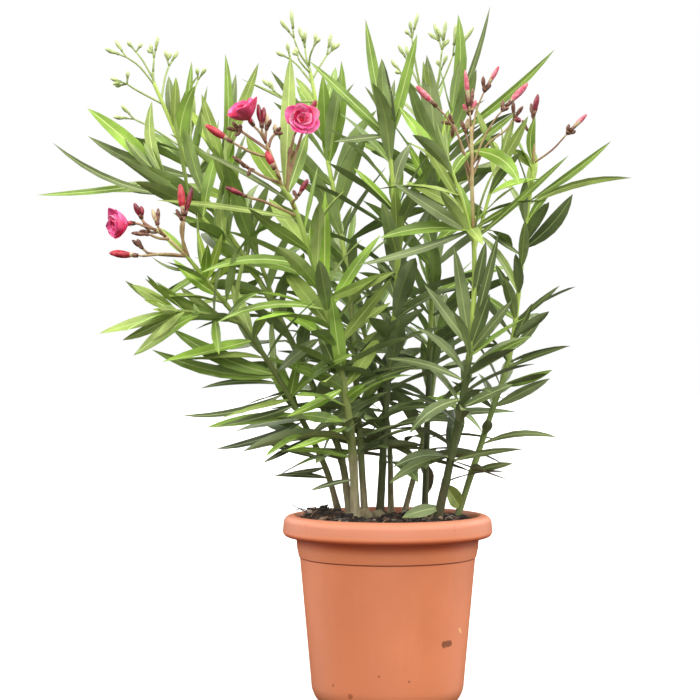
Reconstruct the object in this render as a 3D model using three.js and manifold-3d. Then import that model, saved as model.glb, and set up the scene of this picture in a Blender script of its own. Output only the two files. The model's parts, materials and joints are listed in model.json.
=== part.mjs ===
// A potted oleander with its pot, as a standalone three.js example.
// Millimetres, +Z up. The origin is the centre of the pot's flat underside, and -Y is the front.
// Every shoot is a bare stem from the compost up, then a foliage mass that starts a hair above it:
// a leafy stem with whorls of three leaves by a seeded rule, fused with its flower head.
import * as THREE from "three";
import { mergeVertices } from "three/addons/utils/BufferGeometryUtils.js";
import Module from "manifold-3d";

const wasm = await Module();
wasm.setup();

// ---- Driving dimensions ----

const CLEAR = 0.3; // gap between neighbours that touch on the real plant

const POT = {
  height: 220,
  baseRadius: 54.5, // flat underside
  cornerRadius: 32, // round from the underside to the wall
  shoulder: { radius: 98.7, z: 166 }, // top of the tapered body
  collar: { radius: 102.3, z: 177 }, // foot of the collar under the rim
  rimUnder: { radius: 103.6, z: 197 },
  rimRadius: 118.6,
  wall: 2.5,
  segments: 36,
};
const DRAIN = { count: 4, radius: 4, bearing: -31, slope: 40, ring: 76, z: 8 };
const SOIL_LEVEL = 212;

const SHORTEST_EDGE = 0.05; // of a fused mass

const STEM_SIDES = 6; // bare at the foot
const TWIG_SIDES = 4;
const STALK_SIDES = 3;
const STEP_LENGTH = 45; // one bend of a stem
const FOOT_FLARE = { swell: 0.35, reach: 9 };

const SUNK = 4; // how far the last leaves start below a stem's tip
const WHORL = 3; // leaves at a node, each whorl turned by half a step from the last
const LEAF = {
  width: 0.165, // of its length
  thickness: 0.018, // of its length
  roll: 70, // spread of the blades' turn about their own midrib
  fullFrom: 0.27, // full width starts and ends here, along the leaf
  fullTo: 0.66,
};
const YOUNG = { pitch: 30, sag: 0.02, size: 0.8 }; // at a shoot's tip
const OLD = { pitch: 74, sag: 0.24, size: 0.95 }; // at its lowest whorl
const STRAY = { pitch: 26, bearing: 34, turn: 50, size: 0.32, spacing: 0.4 }; // chance, end to end

const STALK = { peduncle: 1.9, pedicel: 1.1 }; // radii
const FLOWER = { radius: 15, length: 24 };
const BUD = { radius: 4, length: 26 };
const GREEN_BUD = { radius: 3.6, length: 17 };
const GOLDEN_ANGLE = 137.5;

// Shoots: [x, y, z] points of the stem from the compost or the parent's stem to the tip, radius at
// the foot and the tip, height of the lowest leaves, whorl spacing and longest leaf. A reach is one
// leaf that the crown's outline needs: [how far up the stem, its run in x, y and z, its width, and
// how far its middle bows to the left of the run]. Past 1 it stands on the head's stalk. `fallen`
// numbers the whorled leaves that the shoot has shed, and `bald` is a stretch without any.
const SHOOTS = [
  { name: "left_front", seed: 35, radius: [3.8, 2.2], lowest: 70, spacing: 28, leaf: 118,
    fallen: [0, 2, 22, 24, 27, 30, 31, 32],
    path: [[-54, 62], [-78, 40, 287], [-142, -10, 404], [-224, -62, 512]],
    reaches: [
      [0.73, -90, -28, 43, 13, 10], [0.52, -115, -48, 52, 18, 8], [0.51, -140, -30, 31, 14, 9],
      [0.48, -92, -10, -4, 7, -6], [0.45, -121, 4, -26, 8, 9], [0.4, -87, -20, -23, 10, 3],
      [0.34, -100, -12, -31, 9, 5], [0.28, -55, -24, -28, 7, 0], [0.2, -75, 16, 22, 8, 0],
      [0.17, -42, -18, -5, 6, 2], [0.13, -64, -14, 4, 7, -3], [0.94, -49, -14, 13, 4, 7],
      [0.83, -49, -30, 40, 13, 3], [0.89, -9, -26, 56, 10, 0], [0.89, 19, -34, 51, 10, 0],
      [0.88, 30, -38, 27, 9, 0], [0.9, 6, -48, 36, 11, 0], [0.43, 10, -20, 47, 12, 0],
      [0.99, -31, 14, 32, 10, 0],
    ],
    head: { kind: "red", at: [-262, -70, 541], flowers: [[-297, -75, 545]],
      buds: [[-225, -73, 580], [-274, -78, 561], [-294, -70, 511], [-255, -60, 558]] } },
  { name: "left_low", seed: 72, parent: "left_front", joins: 0.72, radius: [2.4, 1.6], lowest: 18,
    spacing: 17, leaf: 86, fallen: [2],
    path: [[-202, -52, 446], [-234, -78, 449]],
    reaches: [
      [0.95, -84, -20, -25, 14, 0], [0.9, -46, -33, -46, 14, 3], [0.98, -46, -18, 28, 14, 0],
    ] },
  { name: "left_back", seed: 426, radius: [4.2, 2.2], lowest: 60, spacing: 30, leaf: 118, bald: [0.9, 1],
    fallen: [28, 30, 35, 44, 45, 46],
    path: [[-42, 35], [-61, 48, 308], [-142, 68, 476], [-214, 95, 588], [-277, 120, 725]],
    reaches: [
      [0.78, -122, -40, 44, 15, 9], [0.86, 19, -7, 67, 17, 5], [0.9, -6, 19, 62, 13, 0],
      [0.84, 9, 12, 109, 10, 0], [0.78, 44, -10, 36, 12, 2], [0.62, -70, -16, 32, 12, 0],
      [0.89, 3, -10, 62, 12, 0], [0.57, 6, -24, 70, 9, 0],
    ],
    head: { kind: "green", at: [-286, 124, 742], count: 12, spread: 54 } },
  { name: "left_arm", seed: 484, parent: "left_back", joins: 0.52, radius: [2.6, 1.8], lowest: 20,
    spacing: 20, leaf: 138, fallen: [2, 7, 9, 10, 12, 18, 21, 23],
    path: [[-181, 45, 524], [-216, 42, 562], [-257, 48, 604]],
    reaches: [
      [0.98, -150, -8, -17, 8, 3], [0.83, -145, -25, 59, 8, 14], [0.99, -93, 13, 85, 19, -3],
      [0.98, -21, 40, 98, 14, 11],
    ] },
  { name: "left_inner", seed: 341, parent: "left_back", joins: 0.42, radius: [2.6, 1.8], lowest: 30,
    spacing: 24, leaf: 122, fallen: [6, 7, 10, 23],
    path: [[-152, 74, 520], [-196, 88, 632]],
    reaches: [
      [0.92, 0, 9, 140, 12, -4], [0.95, 14, 24, 113, 13, 0], [0.97, 44, -4, 118, 14, 0],
      [0.93, -26, -10, 88, 14, 0], [0.6, -14, -20, 50, 16, 0],
    ] },
  { name: "front", seed: 49, radius: [5.4, 2.6], lowest: 64, spacing: 22, leaf: 122,
    fallen: [0, 36, 38, 39, 40, 41, 42, 43, 44],
    path: [[-36, 5], [-42, -8, 315], [-65, -32, 439], [-101, -58, 556], [-118, -66, 587]],
    reaches: [
      [0.98, 4, 60, 160, 18, 0], [0.89, -161, 30, 24, 7, -3], [0.74, -124, -58, -6, 11, -15],
      [0.62, -121, -46, -15, 9, -14], [0.39, -63, -44, -31, 11, 2], [0.41, -13, -34, 98, 18, 0],
      [0.28, -70, -40, -26, 9, 3], [0.65, 78, -46, 30, 13, 0], [0.12, -50, -26, -11, 6, -2],
      [0.99, -42, 24, 60, 18, 2], [0.94, -107, 24, 61, 7, -3], [0.97, 22, 30, 71, 15, 0],
      [0.51, 62, -40, 77, 13, 0], [0.4, -30, -30, 66, 15, 0], [0.36, 21, -24, 15, 11, 0],
      [0.37, 86, -10, 33, 8, 4], [0.65, 1, -20, 120, 14, 0],
    ],
    head: { kind: "red", at: [-128, -72, 625], flowers: [[-161, -82, 671], [-93, -84, 660]],
      buds: [[-192, -78, 647], [-141, -70, 667], [-133, -84, 617], [-90, -74, 589], [-170, -88, 582]] } },
  { name: "back", seed: 201, radius: [4, 2.2], lowest: 66, spacing: 29, leaf: 124, bald: [0.94, 1],
    fallen: [1, 3, 18, 26, 44],
    path: [[-25, 30], [-34, 45, 348], [-42, 62, 464], [-60, 85, 583], [-90, 118, 738]],
    reaches: [
      [0.92, -26, 14, 36, 10, 0], [0.78, 15, -12, 122, 16, -5], [0.78, 13, -20, 74, 11, 0],
      [0.81, -4, -10, 91, 17, 0],
    ],
    head: { kind: "green", at: [-98, 122, 772], count: 8, spread: 40 } },
  { name: "centre", seed: 403, radius: [4.6, 2.2], lowest: 62, spacing: 26, leaf: 134,
    fallen: [1, 2, 23, 27, 36, 39],
    path: [[-8, 50], [0, 44, 355], [12, 36, 487], [8, 25, 578], [0, 20, 660]],
    reaches: [
      [0.97, -26, 6, 139, 14, 2], [0.92, -9, -22, 110, 20, 0], [0.96, 33, 9, 127, 14, 0],
      [0.98, -91, 20, 89, 11, 0], [0.79, -47, -30, 46, 11, 0], [0.66, -4, -40, 84, 17, 0],
      [0.98, -62, -10, -8, 9, 0],
    ] },
  { name: "right_back", seed: 237, radius: [3.8, 2], lowest: 74, spacing: 30, leaf: 134,
    fallen: [5, 6, 8, 37, 39, 40, 41],
    path: [[45, 75], [51, 92, 384], [57, 104, 525], [65, 110, 596], [79, 120, 690]],
    reaches: [
      [0.97, 10, 3, 132, 16, -7], [0.97, 48, 0, 141, 8, -4], [0.93, 126, -20, 105, 10, -6],
      [0.8, -16, 0, 162, 26, 0], [0.78, -2, -60, 80, 14, 0], [0.82, -116, -30, 53, 9, -2],
      [0.77, -38, -30, 66, 12, 0],
    ] },
  { name: "right_spur", seed: 161, parent: "right_back", joins: 0.7, radius: [2.2, 1.7], lowest: 24,
    spacing: 24, leaf: 112, bald: [0.85, 1], fallen: [9, 10],
    path: [[53, 124, 600], [46, 138, 700]],
    reaches: [],
    head: { kind: "green", at: [42, 138, 770], count: 8, spread: 38 } },
  { name: "right_front", seed: 319, radius: [5, 2.4], lowest: 44, spacing: 21, leaf: 108, bald: [0.62, 0.93],
    fallen: [0, 2, 8, 11, 15],
    path: [[56, -8], [75, -22, 305], [89, -42, 392], [95, -50, 472], [94, -56, 540]],
    reaches: [
      [0.98, -92, -45, 54, 16, 0], [0.96, 101, -35, 91, 8, 0], [0.61, -19, -12, 111, 17, 0],
      [0.62, 30, -15, 122, 12, 0], [0.77, 12, -16, 62, 12, 0], [0.6, 20, -26, 61, 15, 0],
      [0.52, 68, -20, 40, 9, 3], [0.49, -88, -26, 26, 9, -6], [0.43, -61, -40, -37, 14, -9],
      [0.23, -71, -34, -29, 12, -8], [0.21, 82, -16, 15, 8, 4], [1.75, 50, -34, -40, 17, 13],
      [1, -129, -16, -41, 10, 4], [1.75, -22, -16, -30, 11, -4], [1, 50, -14, 30, 7, 0],
      [1.79, 51, 10, 40, 8, 0], [0.61, -52, -20, 68, 14, 0], [0.59, 46, -20, 58, 12, 0],
    ],
    head: { kind: "red", at: [92, -62, 652], flowers: [],
      buds: [[42, -66, 684], [85, -58, 705], [117, -60, 711], [142, -70, 689], [72, -52, 650]] } },
  { name: "right_inner", seed: 320, parent: "right_front", joins: 0.95, radius: [2, 1.6], lowest: 16,
    spacing: 20, leaf: 104, fallen: [3, 5, 6, 8, 11, 13, 14],
    path: [[80, -74, 570], [65, -80, 612]],
    reaches: [
      [0.41, -56, -20, 91, 11, 0],
    ] },
  { name: "right_outer", seed: 357, parent: "right_front", joins: 0.93, radius: [2, 1.6], lowest: 16,
    spacing: 22, leaf: 98, fallen: [0, 5, 7, 10, 11, 13, 14],
    path: [[110, -44, 570], [126, -34, 622]],
    reaches: [
      [0.8, 36, -6, 65, 12, 0],
    ] },
  { name: "far_right", seed: 22, radius: [3.8, 2], lowest: 46, spacing: 27, leaf: 96,
    fallen: [1, 3, 4, 5, 6, 11, 24, 27, 29, 30, 36, 39, 40],
    path: [[81, 40], [114, 36, 315], [142, 30, 405], [155, 18, 519], [167, 12, 622]],
    reaches: [
      [0.89, 92, -14, 67, 9, -3], [0.88, 117, -5, 30, 9, 9], [0.76, 53, -32, 60, 18, -6],
      [0.56, 48, -27, 41, 7, 0], [0.5, 21, -22, 46, 11, 0], [0.48, 37, -10, 44, 10, -2],
      [0.43, 69, -30, 26, 7, 3], [0.38, 57, -22, 19, 11, -2], [0.32, 64, -10, 33, 13, 0],
      [0.21, 88, -10, 9, 8, 9], [0.13, 46, -20, 12, 9, 2], [0.03, -19, -24, 30, 15, 0],
      [0.74, -42, -14, 27, 6, 0], [0.6, -26, -16, 49, 10, 0], [0.8, 21, -16, 34, 10, 0],
      [0.99, 1, -12, 52, 11, 5], [0.98, -28, -20, 19, 12, -2],
    ],
    head: { kind: "red", at: [170, 8, 648], flowers: [],
      buds: [[170, 5, 688], [216, 0, 662]] } },
  { name: "rear_left", seed: 63, radius: [3.6, 2], lowest: 70, spacing: 26, leaf: 116,
    fallen: [0, 1, 3],
    path: [[6, 80], [2, 124, 322], [-26, 162, 430], [-60, 186, 515]], reaches: [] },
  { name: "rear_right", seed: 235, radius: [3.4, 2], lowest: 70, spacing: 27, leaf: 108,
    path: [[20, 62], [50, 122, 322], [62, 158, 406], [56, 182, 486]], reaches: [] },
];

const COLOURS = {
  pot: "#c96f48", soil: "#2c241d", stem: "#7a6a4c", leaf: "#6f9440", youngLeaf: "#8fb04a",
};

// ---- Solids ----

// A closed three.js geometry as a manifold solid.
function solid(geometry) {
  const bare = geometry.clone();
  bare.deleteAttribute("normal");
  bare.deleteAttribute("uv");
  const merged = mergeVertices(bare, 1e-3);
  return new wasm.Manifold(new wasm.Mesh({
    numProp: 3,
    vertProperties: new Float32Array(merged.attributes.position.array),
    triVerts: new Uint32Array(merged.index.array),
  }));
}

function geometryOf(manifold) {
  const { vertProperties, triVerts } = manifold.getMesh();
  const geometry = new THREE.BufferGeometry();
  geometry.setAttribute("position", new THREE.BufferAttribute(vertProperties, 3));
  geometry.setIndex(new THREE.BufferAttribute(triVerts, 1));
  return geometry;
}

// The largest connected body of a solid: loose scraps and sealed hollows are dropped.
function largest(manifold) {
  const biggest = (bodies) => bodies.reduce((a, b) => (b.volume() > a.volume() ? b : a));
  return biggest(solid(geometryOf(manifold)).simplify(SHORTEST_EDGE).decompose());
}

function meshOf(name, manifold, colour, roughness) {
  const geometry = geometryOf(manifold);
  geometry.computeVertexNormals();
  const material = new THREE.MeshStandardMaterial({ color: colour, roughness, metalness: 0 });
  const mesh = new THREE.Mesh(geometry, material);
  mesh.name = name;
  return mesh;
}

// Moves every vertex of a geometry to where `place` puts it.
function reshape(geometry, place) {
  const position = geometry.attributes.position;
  const vertex = new THREE.Vector3();
  for (let i = 0; i < position.count; i += 1) {
    place(vertex.fromBufferAttribute(position, i));
    position.setXYZ(i, vertex.x, vertex.y, vertex.z);
  }
  return geometry;
}

// ---- The pot and its compost ----

function arc(centreR, centreZ, radius, from, to, steps) {
  return Array.from({ length: steps + 1 }, (_, i) => {
    const angle = THREE.MathUtils.degToRad(from + ((to - from) * i) / steps);
    return [centreR + radius * Math.cos(angle), centreZ + radius * Math.sin(angle)];
  });
}

// The wall's inner face from the middle of the floor up to the height `top`, set in by `inset`.
function innerFace(inset, top) {
  const { baseRadius, cornerRadius, shoulder, collar } = POT;
  return [
    [0, inset],
    ...arc(baseRadius, cornerRadius, cornerRadius - inset, -90, 0, 2),
    [shoulder.radius - inset, shoulder.z],
    [collar.radius - inset, collar.z],
    [collar.radius - inset, top],
  ];
}

function spun(profile) {
  const points = profile.map(([r, z]) => new THREE.Vector2(r, z));
  return solid(new THREE.LatheGeometry(points, POT.segments).rotateX(Math.PI / 2));
}

function pot() {
  const { height, baseRadius, cornerRadius, shoulder, collar, rimUnder, rimRadius, wall } = POT;
  const outer = [
    [0, 0],
    ...arc(baseRadius, cornerRadius, cornerRadius, -90, 0, 3),
    [shoulder.radius, shoulder.z],
    [shoulder.radius + 1.5, shoulder.z + 4],
    [collar.radius, collar.z],
    [rimUnder.radius, rimUnder.z],
    [rimRadius - 3, rimUnder.z + 0.5],
    [rimRadius, rimUnder.z + 7.5],
    [rimRadius - 2, height - 7],
    [rimRadius - 10, height],
    [rimRadius - 16.5, height - 3],
  ];
  const shell = spun([...outer, ...innerFace(wall, rimUnder.z).reverse()]);
  const holes = Array.from({ length: DRAIN.count }, (_, i) => {
    const bearing = DRAIN.bearing + (360 * i) / DRAIN.count;
    const drill = new THREE.CylinderGeometry(DRAIN.radius, DRAIN.radius, cornerRadius, 8);
    drill.rotateX(THREE.MathUtils.degToRad(DRAIN.slope));
    drill.translate(0, -DRAIN.ring, DRAIN.z);
    return solid(drill.rotateZ(THREE.MathUtils.degToRad(bearing)));
  });
  return holes.reduce((body, hole) => body.subtract(hole), shell);
}

function soil() {
  return spun([...innerFace(POT.wall + CLEAR, SOIL_LEVEL), [0, SOIL_LEVEL]]);
}

// ---- Stems, leaves, buds and flowers ----

// Numbers between 0 and 1 in an order that the seed fixes.
function seeded(seed) {
  let state = seed * 7919;
  return () => {
    state = (state + 0x6d2b79f5) | 0;
    let mixed = Math.imul(state ^ (state >>> 15), 1 | state);
    mixed = (mixed + Math.imul(mixed ^ (mixed >>> 7), 61 | mixed)) ^ mixed;
    return ((mixed ^ (mixed >>> 14)) >>> 0) / 4294967296;
  };
}

const mix = THREE.MathUtils.lerp;
const vector = (numbers) => new THREE.Vector3(...numbers);
const AWAY = new THREE.Vector3(0, 1, 0); // from the front to the back

// A tapering limb along the curve from u0 to u1, `radiusAt` giving its radius at u.
function limb(curve, u0, u1, radiusAt, sides) {
  const length = curve.getLength() * (u1 - u0);
  const steps = Math.max(1, Math.round(length / STEP_LENGTH));
  const rod = new THREE.CylinderGeometry(1, 1, 1, sides, steps);
  return solid(reshape(rod, (vertex) => {
    const u = mix(u0, u1, vertex.y + 0.5);
    const along = curve.getTangentAt(u);
    const side = new THREE.Vector3().crossVectors(along, AWAY).normalize();
    const front = new THREE.Vector3().crossVectors(side, along);
    const radius = radiusAt(u);
    const { x, z } = vertex;
    vertex.copy(curve.getPointAt(u)).addScaledVector(side, x * radius);
    vertex.addScaledVector(front, z * radius);
    if (u === 0) vertex.z = Math.max(vertex.z, SOIL_LEVEL + CLEAR);
  }));
}

function stalk(from, to, radius) {
  return limb(new THREE.LineCurve3(from, to), 0, 1, () => radius, STALK_SIDES);
}

// One leaf: a long three-sided body with two full-width sections, sagging under its own weight.
// `swell` thickens and widens it, for the test that it keeps clear of its neighbours.
function leafSolid({ base, run, up, width, sag, roll, bow = 0 }, swell = 0) {
  const length = run.length();
  const forward = run.clone().normalize();
  const side = new THREE.Vector3().crossVectors(up, forward).normalize();
  side.applyAxisAngle(forward, THREE.MathUtils.degToRad(roll));
  const face = new THREE.Vector3().crossVectors(forward, side);
  const left = new THREE.Vector3().crossVectors(forward, AWAY);
  const halfWidth = width / 2 + swell;
  const depth = LEAF.thickness * length * 0.7 + swell;
  const blade = new THREE.SphereGeometry(1, 3, 3);
  return solid(reshape(blade, (vertex) => {
    const turn = Math.hypot(vertex.x, vertex.z);
    const flat = turn < 0.01 ? 0 : 1 / turn;
    const ring = vertex.y > 0 ? LEAF.fullFrom : LEAF.fullTo;
    const end = vertex.y > 0 ? 0 : 1;
    const u = flat ? ring : end;
    const across = side.clone().multiplyScalar((vertex.z * flat * halfWidth) / 0.866);
    const through = face.clone().multiplyScalar(-vertex.x * flat * depth);
    vertex.copy(base).addScaledVector(run, u).add(across).add(through);
    vertex.addScaledVector(left, 4 * bow * u * (1 - u));
    vertex.z -= sag * length * u * (u + 0.4) * 0.72;
  }));
}

// A bud or flower: a faceted ball drawn out along its axis.
function ball(centre, axis, radius, length, sides, rings) {
  const turn = new THREE.Quaternion().setFromUnitVectors(new THREE.Vector3(0, 1, 0), axis);
  const body = new THREE.SphereGeometry(1, sides, rings).scale(radius, length / 2, radius);
  return solid(body.applyQuaternion(turn).translate(...centre.toArray()));
}

function curveOf(shoot) {
  const start = shoot.parent ? byName[shoot.parent].curve.getPointAt(shoot.joins).toArray()
    : [...shoot.path[0], SOIL_LEVEL + CLEAR];
  const rest = shoot.parent ? shoot.path : shoot.path.slice(1);
  return new THREE.CatmullRomCurve3([start, ...rest].map(vector), false, "catmullrom", 0.5);
}

// The whorled leaves of a shoot, in order from its lowest whorl, then its reaches.
function leavesOf(shoot) {
  const random = seeded(shoot.seed);
  const { curve, length } = shoot;
  const leaves = [];
  const count = Math.floor((length - shoot.lowest) / shoot.spacing);
  for (let whorl = 0; whorl <= count; whorl += 1) {
    const distance = shoot.lowest + (whorl + random() * STRAY.spacing) * shoot.spacing;
    const u = Math.min(distance / length, 1 - SUNK / length);
    const young = whorl / count;
    const turn = random() * STRAY.turn + (whorl * 180) / WHORL;
    for (let k = 0; k < WHORL; k += 1) {
      const pitch = mix(OLD.pitch, YOUNG.pitch, young) + (random() - 0.5) * STRAY.pitch;
      const bearing = turn + (k * 360) / WHORL + (random() - 0.5) * STRAY.bearing;
      const size = mix(OLD.size, YOUNG.size, young ** 2) * (0.8 + STRAY.size * random());
      const sag = mix(OLD.sag, YOUNG.sag, young) * (0.4 + 1.1 * random());
      const roll = (random() - 0.5) * LEAF.roll;
      const bald = shoot.bald && u > shoot.bald[0] && u < shoot.bald[1];
      const shed = bald || shoot.fallen?.includes(whorl * WHORL + k);
      if (!shed) leaves.push(whorledLeaf(curve, u, pitch, bearing, size * shoot.leaf, sag, roll));
    }
  }
  return leaves;
}

function reachesOf({ curve, reaches, head }) {
  const tip = curve.getPointAt(1);
  return reaches.map(([u, x, y, z, width, bow]) => ({
    base: u > 1 ? tip.clone().lerp(vector(head.at), u - 1) : curve.getPointAt(u),
    run: vector([x, y, z]), up: AWAY.clone().negate(), width, bow, sag: 0, roll: LEAF.roll / 4,
  }));
}

function whorledLeaf(curve, u, pitch, bearing, length, sag, roll) {
  const axis = curve.getTangentAt(u);
  const level = new THREE.Vector3(0, -1, 0);
  level.addScaledVector(axis, -level.dot(axis)).normalize();
  const outward = level.applyAxisAngle(axis, THREE.MathUtils.degToRad(bearing));
  const lean = THREE.MathUtils.degToRad(pitch);
  const run = axis.clone().multiplyScalar(Math.cos(lean)).addScaledVector(outward, Math.sin(lean));
  return { base: curve.getPointAt(u), run: run.multiplyScalar(length), up: axis,
    width: LEAF.width * length, sag, roll };
}

// The stalks, buds and flowers on a shoot's tip.
function headOf(shoot) {
  if (!shoot.head) return [];
  const random = seeded(shoot.seed + 100);
  const tip = shoot.curve.getPointAt(0.99);
  const { at, kind } = shoot.head;
  const centre = vector(at);
  const pieces = [stalk(tip, centre, STALK.peduncle)];
  const grow = (end, { radius, length }, sides, rings) => {
    const root = tip.clone().lerp(centre, 0.7 + 0.25 * random());
    const axis = end.clone().sub(root).normalize();
    pieces.push(stalk(root, end, STALK.pedicel), ball(end, axis, radius, length, sides, rings));
  };
  if (kind === "red") {
    for (const spot of shoot.head.flowers) grow(vector(spot), FLOWER, 6, 3);
    for (const spot of shoot.head.buds) grow(vector(spot), BUD, 4, 2);
    return pieces;
  }
  for (let i = 0; i < shoot.head.count; i += 1) {
    const around = THREE.MathUtils.degToRad(i * GOLDEN_ANGLE);
    const spread = shoot.head.spread * (0.35 + 0.65 * random());
    const high = shoot.head.spread * (1.5 * random() - 0.8);
    const away = new THREE.Vector3(Math.cos(around) * spread, Math.sin(around) * spread * 0.7, high);
    grow(centre.clone().add(away), GREEN_BUD, 4, 2);
  }
  return pieces;
}

// ---- Growing the plant ----

const byName = {};
const placed = []; // every solid so far with its node and box, for the tests of clearance

function boxesMeet(a, b) {
  return [0, 1, 2].every((i) => a.min[i] < b.max[i] && b.min[i] < a.max[i]);
}

function place(node, manifold) {
  placed.push({ node, manifold, box: manifold.boundingBox() });
  return manifold;
}

// True where the solid keeps clear of every other node's solids.
function isClear(node, manifold) {
  const box = manifold.boundingBox();
  return !placed.some((other) => other.node !== node && boxesMeet(box, other.box)
    && !manifold.intersect(other.manifold).isEmpty());
}

// How far up a side shoot its stem starts, to stand just clear of its parent's.
function seatBeside(parentStem, { curve, length }, radiusAt) {
  const swollen = (u) => radiusAt(u) + CLEAR;
  let start = 0;
  while (!limb(curve, start, 1, swollen, TWIG_SIDES).intersect(parentStem).isEmpty()) {
    start += CLEAR / length;
  }
  return start;
}

function growStems(shoot) {
  shoot.curve = curveOf(shoot);
  shoot.length = shoot.curve.getLength();
  const [foot, tip] = shoot.radius;
  const flare = (u) => 1 + FOOT_FLARE.swell * Math.exp((-u * shoot.length) / FOOT_FLARE.reach);
  const radiusAt = (u) => mix(foot, tip, u) * (shoot.parent ? 1 : flare(u));
  const node = `foliage_${shoot.name}`;
  if (shoot.parent) {
    shoot.starts = seatBeside(byName[shoot.parent].core[0], shoot, radiusAt);
  } else {
    shoot.starts = (shoot.lowest - 10) / shoot.length;
    const top = shoot.starts - CLEAR / shoot.length;
    shoot.stem = place(`stem_${shoot.name}`, limb(shoot.curve, 0, top, radiusAt, STEM_SIDES));
  }
  shoot.core = [place(node, limb(shoot.curve, shoot.starts, 1, radiusAt, TWIG_SIDES))];
  byName[shoot.name] = shoot;
}

function growLeaves(shoot, leaves) {
  const node = `foliage_${shoot.name}`;
  for (const leaf of leaves) {
    if (isClear(node, leafSolid(leaf, CLEAR))) shoot.core.push(place(node, leafSolid(leaf)));
  }
}

const group = new THREE.Group();
const potSolid = place("pot", pot());
const soilSolid = place("soil", soil());
group.add(meshOf("pot", potSolid, COLOURS.pot, 0.55));
group.add(meshOf("soil", soilSolid, COLOURS.soil, 1));
SHOOTS.forEach(growStems);
for (const shoot of SHOOTS) {
  const node = `foliage_${shoot.name}`;
  shoot.core.push(...headOf(shoot).map((piece) => place(node, piece)));
}
SHOOTS.forEach((shoot) => growLeaves(shoot, reachesOf(shoot)));
SHOOTS.forEach((shoot) => growLeaves(shoot, leavesOf(shoot)));
for (const shoot of SHOOTS) {
  if (shoot.stem) group.add(meshOf(`stem_${shoot.name}`, shoot.stem, COLOURS.stem, 0.8));
  const mass = largest(wasm.Manifold.union(shoot.core));
  group.add(meshOf(`foliage_${shoot.name}`, mass, shoot.parent ? COLOURS.youngLeaf : COLOURS.leaf, 0.5));
}

export default group;
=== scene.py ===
"""The finished look of a potted oleander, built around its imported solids."""
from bisect import bisect_right
from functools import partialmethod
import json
import math

import bmesh
import bpy
from mathutils import Matrix, Vector, noise

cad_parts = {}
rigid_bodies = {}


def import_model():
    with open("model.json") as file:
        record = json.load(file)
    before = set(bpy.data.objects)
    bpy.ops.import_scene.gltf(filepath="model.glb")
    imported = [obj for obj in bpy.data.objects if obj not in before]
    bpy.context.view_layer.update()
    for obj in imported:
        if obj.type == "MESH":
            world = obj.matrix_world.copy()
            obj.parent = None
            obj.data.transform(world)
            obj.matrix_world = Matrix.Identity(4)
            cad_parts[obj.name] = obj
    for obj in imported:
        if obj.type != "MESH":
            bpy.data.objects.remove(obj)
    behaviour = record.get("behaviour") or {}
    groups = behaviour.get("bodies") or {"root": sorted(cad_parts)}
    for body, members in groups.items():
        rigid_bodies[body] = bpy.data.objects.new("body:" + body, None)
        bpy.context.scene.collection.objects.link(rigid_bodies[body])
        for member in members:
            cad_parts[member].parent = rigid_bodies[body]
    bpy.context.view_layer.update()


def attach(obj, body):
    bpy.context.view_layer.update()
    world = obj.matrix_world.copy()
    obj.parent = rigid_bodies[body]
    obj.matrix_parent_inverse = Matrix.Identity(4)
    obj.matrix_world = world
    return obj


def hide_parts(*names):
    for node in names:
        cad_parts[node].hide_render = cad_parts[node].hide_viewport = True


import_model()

MM = 0.001

# ---- Sizes, in millimetres ----

POT_HEIGHT = 220
UNDERSIDE_RADIUS = 54.5
CORNER_RADIUS = 32
SHOULDER_RADIUS, SHOULDER_Z = 98.7, 166
COLLAR_RADIUS, COLLAR_Z = 102.3, 177
RIM_UNDER_RADIUS, RIM_UNDER_Z = 103.6, 197
RIM_RADIUS = 118.6
GROOVE_Z = 172.3
POT_EDGE = 0.5  # the pot's surface breaks where its faces turn by more, in radians
POT_STEPS = 96
WALL = 2.5
DRAIN_HOLES, DRAIN_RADIUS, DRILL_LENGTH = 4, 4, 26
DRAIN_BEARING, DRAIN_RING, DRAIN_Z, DRAIN_TILT = -31, 76, 8, 130
SOIL_LEVEL = 212
SOIL_RADIUS = 101
SOIL_DEPTH = 24
SOIL_RINGS, SOIL_STEPS = 34, 110
CRUMBS, FIBRES = 620, 46
CLEAR = 0.3

WHORL = 3
LEAF_WIDTH = 0.165  # of the leaf's length
LEAF_ROLL = 70  # degrees
SUNK = 4  # how far the highest whorl stays below the tip
YOUNG = {"pitch": 30, "sag": 0.02, "size": 0.8}
OLD = {"pitch": 74, "sag": 0.24, "size": 0.95}
STRAY = {"pitch": 26, "bearing": 34, "turn": 50, "size": 0.32, "spacing": 0.4}
GOLDEN_ANGLE = 137.5

CAMERA_PLACE = (-0.04245, -2.164, 0.406)
FOCAL_PIXELS = 1911
FRAME_PIXELS = 700
SENSOR = 36

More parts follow.
